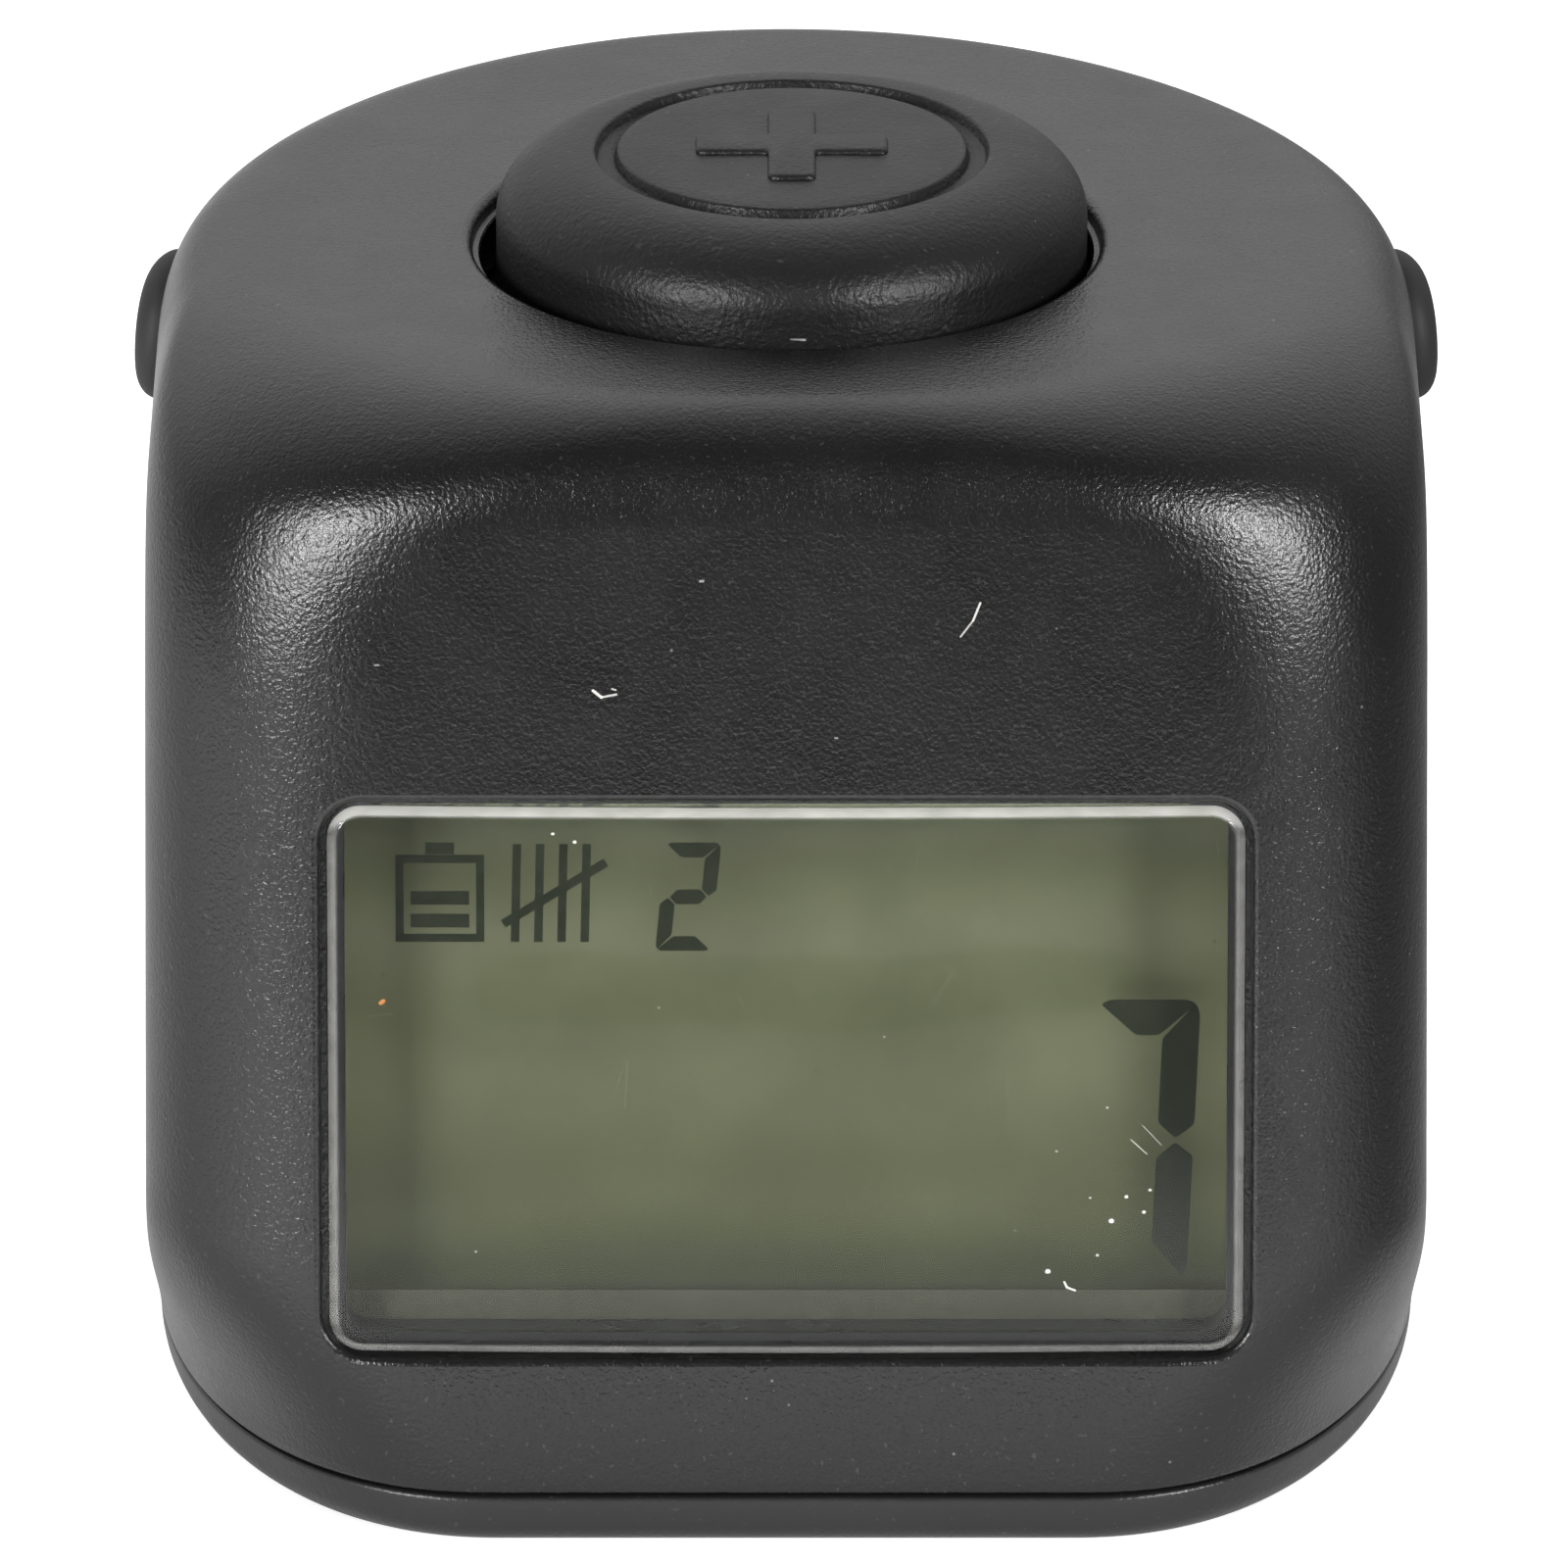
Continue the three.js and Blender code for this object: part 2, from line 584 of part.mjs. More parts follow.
// ---------------------------------------------------------------- main board
function buildMainBoard() {
  const through = [PCB_Z - 1, PCB_Z + 2];
  return box(span(0, 12.6), [-6.2, 11.6], [PCB_Z, PCB_TOP])
    .subtract(atEach(BOSSES, cylinder(BOSS_RADIUS + 0.35, through, 24)))
    .subtract(bothSides(box([12.0, 14], [-8, FRONT_BOSS.y], through)))
    .subtract(bothSides(box([REAR_BOSS.x, 14], [REAR_BOSS.y, 13], through)))
    .subtract(atEach(POSTS, cylinder(0.85, through, 14)));
}
add('main_pcb', buildMainBoard(), 'circuit_board');
for (const { name, x, y } of POSTS) {
  add(`pcb_screw_${name}`, buildScrew(SCREWS.pcb).translate([x, y, 0]), 'zinc_steel');
}

// ---------------------------------------------------------------- side buttons and switches
// ring of 28 points about the key's axis; xAt gives x from (y, z)
const keyRing = (radius, xAt) => Array.from({ length: 28 }, (_, i) => {
  const angle = 2 * Math.PI * i / 28;
  const y = KEY.y + radius * Math.cos(angle);
  const z = KEY.z + radius * Math.sin(angle);
  return [xAt(y, z), y, z];
});

function buildSideButton() {
  const proudRing = (radius, proud) => keyRing(radius, (y, z) => sideX(y, z) + proud);
  const rings = [keyRing(KEY.radius, () => KEY.back)];
  for (let k = 0; k <= 4; k++) {
    const angle = Math.PI / 2 * k / 4;
    rings.push(proudRing(
      KEY.radius - KEY.edge * (1 - Math.cos(angle)),
      KEY.proud - KEY.drop * (1 - Math.sin(angle)),
    ));
  }
  rings.push(proudRing(0.6, KEY.proud));
  return loft(rings)
    .add(cylinderX(KEY.stemRadius, [13.4, KEY.back + 0.3], KEY.y, KEY.z, 20))
    .add(box([12.9, 13.6], span(KEY.y, 2.2), [KEY.z - 1.7, KEY.z + 0.7]));
}

function buildSideSwitch() {
  return box([9.9, 12.0], span(KEY.y, 2.2), [SWITCH_BOTTOM, 28.35])
    .subtract(cylinderX(1.0, [10.5, 13], KEY.y, KEY.z, 18));
}

for (const [where, place] of [['right', (solid) => solid], ['left', mirrorX]]) {
  const plunger = cylinderX(0.88, [11.15, 12.85], KEY.y, KEY.z, 18);
  add(`side_button_${where}`, place(buildSideButton()), 'button_rubber');
  add(`side_switch_body_${where}`, place(buildSideSwitch()), 'switch_plastic');
  add(`side_switch_plunger_${where}`, place(plunger), 'plunger_plastic');
}

// ---------------------------------------------------------------- display
function buildLens() {
  const half = LENS.halfWidth + 1;
  const bowed = Array.from({ length: 13 }, (_, i) => {
    const u = half * (i / 6 - 1);
    return [u, -LENS.proud + LENS.bow * (u / LENS.halfWidth) ** 2];
  });
  const section = polygon([[-half, LENS.back], ...bowed, [half, LENS.back]]);
  const blank = extrude(section, 20).translate([0, 0, 3]);
  return onFace(blank.intersect(lensPlate(0, LENS.cornerRadius, [-2, 2], 5)));
}

function buildLensAdhesive() {
  return onFace(lensPlate(-0.05, 0.7, [LENS.back + 0.02, POCKET.depth - 0.02], 3)
    .subtract(lensPlate(-0.27, 0.5, [0, 3], 3)));
}

function buildDisplayFrame() {
  return onFace(box(span(0, 12.75), [2.3, 6.0], [3.8, 22.2])
    .subtract(box(span(0, 12.3), [2, 7], [4.4, 21.75])));
}
add('lcd_lens', buildLens(), 'lens_clear');
add('lens_adhesive', buildLensAdhesive(), 'adhesive_black');
add('lcd_frame', buildDisplayFrame(), 'frame_plastic');

// name, half width, d range, v range, material
const DISPLAY_LAYERS = [
  ['lcd_polarizer', 12.05, [2.24, 2.34], [5.9, 20.6], 'polarizer_film'],
  ['lcd_front_glass', 12.15, [2.39, 3.05], [4.55, 21.6], 'lcd_glass'],
  ['lcd_rear_glass', 12.15, [3.09, 3.79], [6.12, 20.35], 'lcd_glass'],
  ['lcd_reflector', 12.1, [3.83, 3.96], [6.12, 20.3], 'lcd_reflector'],
  ['zebra_lower', 11.4, [3.1, 6.02], [4.6, 5.95], 'zebra_rubber'],
  ['zebra_upper', 11.4, [3.1, 6.02], [20.45, 21.2], 'zebra_rubber'],
];
for (const [name, halfWidth, d, v, material] of DISPLAY_LAYERS) {
  add(name, onFace(box(span(0, halfWidth), d, v)), material);
}

// board with an ear and a screw hole at each side
function buildDisplayBoard() {
  const d = [6.1, 6.9];
  const hole = intoFace(cylinder(0.8, [5, 8], 14), DISPLAY_SCREW.u, DISPLAY_SCREW.v);
  return onFace(box(span(0, 12.7), d, [3.9, 21.05])
    .add(bothSides(box([12, 15.0], d, [11.3, 15.1]))))
    .subtract(bothSides(hole));
}
add('display_pcb', buildDisplayBoard(), 'circuit_board');
for (const [side, where] of [[-1, 'left'], [1, 'right']]) {
  const screw = intoFace(buildScrew(SCREWS.display), side * DISPLAY_SCREW.u, DISPLAY_SCREW.v);
  add(`display_screw_${where}`, screw, 'zinc_steel');
}

// parts on the inner side of the display board
const GLOB_PROFILE = [ // radius, d
  [0, 6.93], [3.3, 6.93], [3.0, 7.35], [2.3, 7.75], [1.2, 7.98], [0, 8.05],
];
add('controller_glob', intoFace(revolve(GLOB_PROFILE, 28), 1.5, 10.8), 'epoxy_black');
add('crystal', onFace(cylinderX(0.85, [-10.0, -5.2], 7.82, 16.6, 20)), 'cell_steel');
add('smd_capacitor', onFace(box([6.2, 7.8], [6.94, 7.75], [15.0, 15.9])), 'ceramic_chip');
add('smd_resistor', onFace(box([-6.6, -5.0], [6.94, 7.5], [8.6, 9.5])), 'epoxy_black');

// flat ribbon from the display board to the underside of the main board
const RIBBON = { width: 7, halfThickness: 0.09, steps: 18 };
const RIBBON_PATH = [ // y, z
  [-8.9, 17.3], [-8.1, 16.7], [-6.4, 16.8], [-5.0, 18.1], [-4.5, 19.7], [-4.4, PCB_Z - 0.1],
];
function buildRibbon() {
  const path = new THREE.CatmullRomCurve3(RIBBON_PATH.map(([y, z]) => new THREE.Vector3(y, z, 0)));
  const edge = (offset) => Array.from({ length: RIBBON.steps + 1 }, (_, i) => {
    const point = path.getPointAt(i / RIBBON.steps);
    const tangent = path.getTangentAt(i / RIBBON.steps);
    return [point.x - tangent.y * offset, point.y + tangent.x * offset];
  });
  const { halfThickness, width } = RIBBON;
  const section = polygon([...edge(halfThickness), ...edge(-halfThickness).reverse()]);
  return extrude(section, width).rotate([90, 0, 90]).translate([-width / 2, 0, 0]);
}
add('ribbon_cable', buildRibbon(), 'ribbon_film');

export default group;
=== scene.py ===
"""Digital finger tally counter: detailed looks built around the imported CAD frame.

Lengths are millimetres in the frame's axes: +Z up, +X right, -Y towards the display. They become
metres when a mesh is made. The case outline is one analytic law, so skins, cutters and display
parts all follow the same surface. Points of the leaning display face are given as (across, up)
and a depth into the case.
"""
import math

import bpy
import numpy as np
from mathutils import Matrix, Vector


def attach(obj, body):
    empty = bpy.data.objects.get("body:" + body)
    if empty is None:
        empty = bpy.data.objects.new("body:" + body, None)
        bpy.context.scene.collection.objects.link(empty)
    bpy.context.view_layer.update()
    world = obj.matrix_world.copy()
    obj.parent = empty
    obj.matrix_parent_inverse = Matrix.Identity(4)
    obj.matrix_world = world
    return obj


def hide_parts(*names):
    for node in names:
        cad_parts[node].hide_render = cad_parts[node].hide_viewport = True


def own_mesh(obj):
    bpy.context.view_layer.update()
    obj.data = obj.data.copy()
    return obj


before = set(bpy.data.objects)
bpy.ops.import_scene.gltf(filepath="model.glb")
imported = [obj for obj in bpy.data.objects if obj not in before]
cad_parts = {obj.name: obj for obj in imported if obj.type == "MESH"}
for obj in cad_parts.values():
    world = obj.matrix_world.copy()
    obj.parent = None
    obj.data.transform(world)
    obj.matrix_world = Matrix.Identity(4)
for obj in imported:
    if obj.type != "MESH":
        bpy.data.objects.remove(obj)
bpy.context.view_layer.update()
scene = bpy.context.scene

# ------------------------------------------------------------------ driving dimensions
MM = 0.001
Y_SHIFT = 0.12               # every visible piece is moved back by this at the end

# sides: half width, top rounding (height and superellipse power), draft
CASE_H = 30.85
HALF_W = 17.1
HALF_W_TOP = 13.1
SIDE_ROUND_H = 6.5
SIDE_ROUND_POWER = 4.18
SIDE_DRAFT = 0.2
# front and rear: reach from the centre at the base and at the top, top rounding
FRONT = 18.25
FRONT_TOP = 11.8
FRONT_ROUND_H = 2.9
FRONT_ROUND_POWER = 2.2
REAR = 17.6
REAR_TOP = 15.9
REAR_ROUND_H = 1.8
REAR_ROUND_POWER = 2.0
LEAN = math.radians(7.17)    # the front leans back
COS_LEAN = math.cos(LEAN)
SIN_LEAN = math.sin(LEAN)
# the outline draws in towards the base
BASE_PULL_H = 6.4
BASE_PULL_SIDE = 0.11
BASE_PULL_FRONT = 0.41
BASE_PULL_REAR = 0.3
# front flat as a share of the half width, depth of the front corners, heights of their changes
FLAT_MID = 0.61
FLAT_BASE = 0.447
CORNER_MID = 5.05
CORNER_BASE = 16.9
CORNER_LOW_H = 8.2
CORNER_HIGH_H = 8.2
CORNER_HIGH_POWER = 2.2
CORNER_POWER = 2.15
REAR_POWER = 2.6
TOP_ROUND_H = max(SIDE_ROUND_H, CORNER_HIGH_H)
TOP_ROUND_START = CASE_H - TOP_ROUND_H

PARTING_Z = 1.45
SEAM = 0.075                 # open height of the parting line at the outer skin
BASE_FILLET = 0.7
WALL = 1.8
ROOF = 2.0

CAP_R = 8.0
HOLE_R = CAP_R + 0.5
CAP_TOP = 33.35
CAP_OFF_X = 0.15

SIDE_Y = 4.0                 # centre of the side buttons
SIDE_Z = 26.75
SIDE_R = 2.05
SIDE_BACK = 15.6             # x of the rubber's inner face
SIDE_STEM_R = 1.2

LENS_HALF = 12.05
LENS_LOW = 5.68
LENS_HIGH = 20.67
LENS_MID = (LENS_LOW + LENS_HIGH) / 2
LENS_R = 0.95
LENS_PROUD = 0.12
LENS_BOW = 0.28

BOSSES = [(-12.7, -5.0), (12.7, -5.0), (-10.3, 10.6), (10.3, 10.6)]
BOSS_R = 2.0
CELL_Y = 0.5
DOOR_R = 7.6
DOOR_TAB = 2.6               # half width of the door's strap
DOOR_GAP = 0.2
DOOR_SCREW_Y = 10.7


# ------------------------------------------------------------------ outline law
def smooth(share):
    share = np.clip(share, 0, 1)
    return share * share * (3 - 2 * share)


def rounding(below, height, power):
    """Share of the full size at a distance below the top, for a top edge of this height."""
    rest = np.clip(1 - below / height, 0, 1)
    return np.where(below >= height, 1.0, (1 - rest ** power) ** (1 / power))


def section(z):
    """Half width, front reach, rear reach, half front flat, front corner depth, rear power."""
    z = np.asarray(z, float)
    below = np.maximum(0, CASE_H - z)
    lean = math.tan(LEAN)
    pull = np.maximum(0, 1 - z / BASE_PULL_H) ** 2
    half = HALF_W_TOP + (HALF_W - HALF_W_TOP) * rounding(below, SIDE_ROUND_H, SIDE_ROUND_POWER)
    half = half + SIDE_DRAFT * (1 - z / CASE_H) - BASE_PULL_SIDE * pull
    front_cut = FRONT - lean * CASE_H - FRONT_TOP
    front = FRONT - lean * z - BASE_PULL_FRONT * pull
    front = front - front_cut * (1 - rounding(below, FRONT_ROUND_H, FRONT_ROUND_POWER))
    rear = REAR - (REAR - REAR_TOP) * (1 - rounding(below, REAR_ROUND_H, REAR_ROUND_POWER))
    rear = rear - BASE_PULL_REAR * pull
    high = rounding(below, CORNER_HIGH_H, CORNER_HIGH_POWER)
    low = 1 - smooth(z / CORNER_LOW_H)
    flat = FLAT_MID * high
    flat = flat + (FLAT_BASE - flat) * low
    corner = front + (CORNER_MID - front) * high
    corner = corner + (np.minimum(CORNER_BASE, front) - corner) * low
    power = 2 + (REAR_POWER - 2) * smooth(below / 6)
    power = power + (REAR_POWER - power) * low
    return half, front, rear, flat * half, corner, power


def field(x, y, z, inset=0.0):
    """Below 1 inside the outline, above 1 outside."""
    half, front, rear, flat, corner, power = section(z)
    half, front, rear = half - inset, front - inset, rear - inset
    flat = np.maximum(0, np.minimum(flat, half - 0.5))
    corner = np.maximum(0.5, corner - 0.5 * inset)
    across, along = np.abs(x), np.abs(y)
    at_front = ((np.maximum(0, across - flat) / (half - flat)) ** CORNER_POWER
                + (np.maximum(0, along - (front - corner)) / corner) ** CORNER_POWER)
    at_rear = (across / half) ** power + (along / rear) ** power
    return np.where(y < 0, at_front, at_rear)


def bisect(field_at, inner, outer):
    """Finds the surface between a value inside the case and one outside it."""
    for _ in range(40):
        middle = (inner + outer) / 2
        outside = field_at(middle) > 1
        inner, outer = np.where(outside, inner, middle), np.where(outside, middle, outer)
    return inner


def circle(radius, z, angles):
    return np.stack([radius * np.cos(angles), radius * np.sin(angles), np.full_like(angles, z)], -1)


def outline(z, inset, angles):
    cos, sin = np.cos(angles), np.sin(angles)
    reach = bisect(lambda radius: field(radius * cos, radius * sin, z, inset), 2.0, 40.0)
    return circle(reach, z, angles)


def inner_outline(z, inset, angles):
    """Inset outline taken one roof thickness higher and laid at z."""
    ring = outline(z + ROOF, inset, angles)
    ring[:, 2] = z
    return ring


def even_angles(z, inset, count):
    """Angles that space an outline's points evenly along its length."""
    angles = np.linspace(0, 2 * np.pi, 1441)
    steps = np.linalg.norm(np.diff(outline(z, inset, angles), axis=0), axis=1)
    length = np.concatenate([[0], np.cumsum(steps)])
    return np.interp(np.linspace(0, length[-1], count + 1)[:-1], length, angles)


def full_turn(count):
    return np.linspace(0, 2 * np.pi, count, endpoint=False)


# ------------------------------------------------------------------ leaning face
def on_face(across, depth, up):
    """Face coordinates to the frame, before the final shift."""
    across, depth, up = np.broadcast_arrays(across, depth, up)
    y = depth * COS_LEAN + up * SIN_LEAN - FRONT
    return np.stack([across, y, -depth * SIN_LEAN + up * COS_LEAN], -1)


def skin_depth(across, up):
    """Depth of the case surface below the reference plane."""
    return bisect(lambda depth: field(*on_face(across, depth, up).T), 9.0, -1.5)


def lens_depth(across, up):
    """Depth of the lens's front skin."""
    rise = np.clip((up - LENS_MID) / (LENS_HIGH - LENS_MID), -1, 1)
    return -LENS_PROUD + LENS_BOW * (across / LENS_HALF) ** 2 + 0.05 * rise ** 4


def front_point(across, up, depth=0.0):
    """A point of the finished face in the frame."""
    x, y, z = on_face(across, depth, up)
    return (float(x), float(y) + Y_SHIFT, float(z))


# ------------------------------------------------------------------ outlines in a plane
def arc(x, y, radius, start, end, steps):
    angles = [math.radians(start + (end - start) * i / steps) for i in range(steps + 1)]
    return [(x + radius * math.cos(a), y + radius * math.sin(a)) for a in angles]


def rolled(steps, share=1.0):
    """A unit rolled edge as (1 - cos, 1 - sin) over this share of a quarter turn."""
    angles = [math.pi / 2 * share * k / steps for k in range(steps + 1)]
    return [(1 - math.cos(a), 1 - math.sin(a)) for a in angles]


def round_rect(half, low, high, radius, per_corner=10, per_side=(24, 16), grow=0.0):
    """Rounded rectangle in (across, up), with the same point count for any grow."""
    half, low, high = half + grow, low - grow, high + grow
    radius = max(0.02, radius + grow)
    right, bottom, top = half - radius, low + radius, high - radius
    centres = [(right, bottom, -90), (right, top, 0), (-right, top, 90), (-right, bottom, 180)]
    corners = [arc(x, y, radius, start, start + 90, per_corner) for x, y, start in centres]
    points = []
    for k, corner in enumerate(corners):
        side = np.linspace(corner[-1], corners[(k + 1) % 4][0], per_side[1 - k % 2] + 1)
        points += corner + side[1:-1].tolist()
    return np.array(points)


def at_height(points, z):
    return np.column_stack([points, np.full(len(points), z)])


# ------------------------------------------------------------------ mesh helpers
def places(mesh):
    """Vertex places in millimetres."""
    return np.array([v.co for v in mesh.vertices], float) * 1000


def face_outwards(mesh):
    """Flips a closed mesh whose volume is negative."""
    mesh.calc_loop_triangles()
    corners = np.zeros(len(mesh.loop_triangles) * 3, np.int32)
    mesh.loop_triangles.foreach_get("vertices", corners)
    first, second, third = places(mesh)[corners.reshape(-1, 3)].transpose(1, 0, 2)
    if np.sum(first * np.cross(second, third)) < 0:
        mesh.flip_normals()


def make(name, verts, faces):
    mesh = bpy.data.meshes.new(name)
    mesh.from_pydata((np.asarray(verts, float) * MM).tolist(), [], faces)
    mesh.validate()
    ob = bpy.data.objects.new(name, mesh)
    scene.collection.objects.link(ob)
    face_outwards(mesh)
    return ob


def shade(ob, degrees):
    mesh = ob.data
    mesh.polygons.foreach_set("use_smooth", [True] * len(mesh.polygons))
    mesh.set_sharp_from_angle(angle=math.radians(degrees))
    mesh.update()


def ring_bands(ring_count, count):
    """Quads between neighbouring rings."""
    return [(k * count + i, k * count + (i + 1) % count,
             (k + 1) * count + (i + 1) % count, (k + 1) * count + i)
            for k in range(ring_count - 1) for i in range(count)]


def loft(rings, name="cutter"):
    """Skin over rings, closed at both ends by a fan about the end ring's centre."""
    count = len(rings[0])
    faces = ring_bands(len(rings), count)
    centre = len(rings) * count
    last = centre - count
    for i in range(count):
        faces.append((centre, (i + 1) % count, i))
    for i in range(count):
        faces.append((centre + 1, last + i, last + (i + 1) % count))
    ends = np.array([rings[0].mean(0), rings[-1].mean(0)])
    return make(name, np.concatenate([*rings, ends]), faces)


def prism(rings, name="cutter"):
    """Skin over rings, closed at both ends by one flat face."""
    count = len(rings[0])
    faces = [tuple(reversed(range(count)))] + ring_bands(len(rings), count)
    faces.append(tuple((len(rings) - 1) * count + i for i in range(count)))
    return make(name, np.concatenate(rings), faces)


def revolve(profile, segments=96, centre=(0, 0, 0), axis="Z", name="cutter"):
    """Closed (radius, height) profile turned about an axis; points on the axis are shared."""
    verts, first = [], []
    for radius, z in profile:
        first.append(len(verts))
        if radius < 1e-7:
            verts.append((0, 0, z))
        else:
            verts.extend((radius * math.cos(a), radius * math.sin(a), z)
                         for a in full_turn(segments))

    def corner(row, i):
        return first[row] if profile[row][0] < 1e-7 else first[row] + i % segments

    faces = []
    for k in range(len(profile)):
        after = (k + 1) % len(profile)
        if profile[k][0] < 1e-7 and profile[after][0] < 1e-7:
            continue
        for i in range(segments):
            quad = (corner(k, i), corner(k, i + 1), corner(after, i + 1), corner(after, i))
            faces.append(tuple(dict.fromkeys(quad)))
    verts = np.array(verts, float)
    if axis != "Z":
        verts = verts[:, {"X": [2, 1, 0], "Y": [0, 2, 1]}[axis]] * (1, 1, -1)
    return make(name, verts + np.array(centre, float), faces)


def rod(radius, start, end, centre=(0, 0, 0), segments=48, axis="Z"):
    profile = [(0, start), (radius, start), (radius, end), (0, end)]
    return revolve(profile, segments, centre, axis)


def side_rod(radius, start, end):
    return rod(radius, start, end, (0, SIDE_Y, SIDE_Z), segments=40, axis="X")


def box(x0, x1, y0, y1, z0, z1):
    verts = [(x, y, z) for z in (z0, z1) for y in (y0, y1) for x in (x0, x1)]
    faces = [(0, 2, 3, 1), (4, 5, 7, 6), (0, 1, 5, 4), (2, 6, 7, 3), (0, 4, 6, 2), (1, 3, 7, 5)]
    return make("cutter", verts, faces)


def lean_back(ob):
    """Moves an object drawn as (across, depth, up) onto the leaning face."""
    leaned = on_face(*places(ob.data).T) * MM
    ob.data.vertices.foreach_set("co", leaned.astype(np.float32).ravel())
    ob.data.update()
    return ob


def face_rod(radius, start, end, across, up, segments):
    return lean_back(rod(radius, start, end, (across, 0, up), segments, axis="Y"))


def boolean(body, tool, operation):
    """Mesh operation on two closed meshes; the result takes the body's place."""
    modifier = body.modifiers.new("cut", "BOOLEAN")
    modifier.operation, modifier.object = operation, tool
    modifier.solver = "MANIFOLD"

    def result():
        graph = bpy.context.evaluated_depsgraph_get()
        return bpy.data.meshes.new_from_object(body.evaluated_get(graph))

    mesh = result()
    if len(mesh.polygons) < 4:   # the fast solver gives nothing on meshes it can't take
        bpy.data.meshes.remove(mesh)
        modifier.solver = "EXACT"
        modifier.use_self = True
        mesh = result()
    body.modifiers.clear()
    old = body.data
    body.data = mesh
    bpy.data.meshes.remove(old)
    bpy.data.objects.remove(tool, do_unlink=True)


def fuse(body, *tools):
    for tool in tools:
        boolean(body, tool, "UNION")
    return body


def cut(body, *tools):
    for tool in tools:
        boolean(body, tool, "DIFFERENCE")
    return body


def joined(obs):
    """Several separate closed meshes as one mesh object."""
    verts, faces, base = [], [], 0
    for ob in obs:
        verts.append(places(ob.data))
        faces += [tuple(base + i for i in poly.vertices) for poly in ob.data.polygons]
        base += len(verts[-1])
        bpy.data.objects.remove(ob, do_unlink=True)
    return make("cutter", np.concatenate(verts), faces)


def paint(ob, look):
    ob.data.materials.clear()
    ob.data.materials.append(LOOKS[look])


def place(ob, look, body, slot, *nodes, sharp=None):
    """Final shift, shading, body, slot (not used), the CAD nodes it stands for, and its look."""
    ob.data.transform(Matrix.Translation((0, Y_SHIFT * MM, 0)))
    if sharp is not None:
        shade(ob, sharp)
    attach(ob, body)
    if nodes:
        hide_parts(*nodes)
    paint(ob, look)
    return ob


# ------------------------------------------------------------------ shader helpers
class Signal:
    """A shader output that can be used in arithmetic; each operation adds one node."""

    def __init__(self, graph, socket):
        self.graph, self.socket = graph, socket

    def output(self, name):
        """Another output of the same node."""
        return Signal(self.graph, self.socket.node.outputs[name])

    def math(self, operation, *others):
        return self.graph.math(operation, self, *others)

    def __add__(self, other):
        return self.math("ADD", other)

    def __radd__(self, other):
        return self.graph.math("ADD", other, self)

    def __sub__(self, other):
        return self.math("SUBTRACT", other)

    def __rsub__(self, other):
        return self.graph.math("SUBTRACT", other, self)

    def __mul__(self, other):
        return self.math("MULTIPLY", other)

    def __abs__(self):
        return self.math("ABSOLUTE")

    def max(self, other):
        return self.math("MAXIMUM", other)

    def above(self, limit):
        return self.math("GREATER_THAN", limit)

    def below(self, limit):
        return self.math("LESS_THAN", limit)

    def ramp(self, over=(0.3, 0.7), to=(0.0, 1.0), soft=False):
        """Maps one range to another; the default range is where noise mostly lies."""
        inputs = {"Value": self, "From Min": over[0], "From Max": over[1],
                  "To Min": to[0], "To Max": to[1]}
        kind = "SMOOTHSTEP" if soft else "LINEAR"
        return self.graph.node("MapRange", inputs, "Result", interpolation_type=kind)

    def bump(self, strength, distance):
        """Normal from this height; distance in metres."""
        inputs = {"Height": self, "Strength": strength, "Distance": distance}
        return self.graph.node("Bump", inputs, "Normal")


class Graph:
    """Node tree of a material or world."""

    def __init__(self, owner):
        owner.use_nodes = True
        self.tree = owner.node_tree
        self.tree.nodes.clear()

    def node(self, kind, inputs, output=0, **settings):
        node = self.tree.nodes.new("ShaderNode" + kind)
        for name, value in settings.items():
            setattr(node, name, value)
        for key, value in inputs.items():
            socket = node.inputs[key]
            if isinstance(value, Signal):
                self.tree.links.new(value.socket, socket)
            elif socket.type == "RGBA":
                socket.default_value = (*value, 1.0)
            else:
                socket.default_value = value
        return Signal(self, node.outputs[output]) if node.outputs else None

    def math(self, operation, *values):
        return self.node("Math", dict(enumerate(values)), operation=operation)

    def vector(self, operation, first, second, output=0):
        return self.node("VectorMath", {0: first, 1: second}, output, operation=operation)

    def mix(self, amount, base, to, blend="MIX"):
        inputs = {0: amount, 6: base, 7: to}
        return self.node("Mix", inputs, 2, data_type="RGBA", blend_type=blend)

    def mix_shader(self, amount, base, to):
        return self.node("MixShader", {0: amount, 1: base, 2: to})

    def principled(self, **inputs):
        named = {name.replace("_", " "): value for name, value in inputs.items()}
        return self.node("BsdfPrincipled", named)


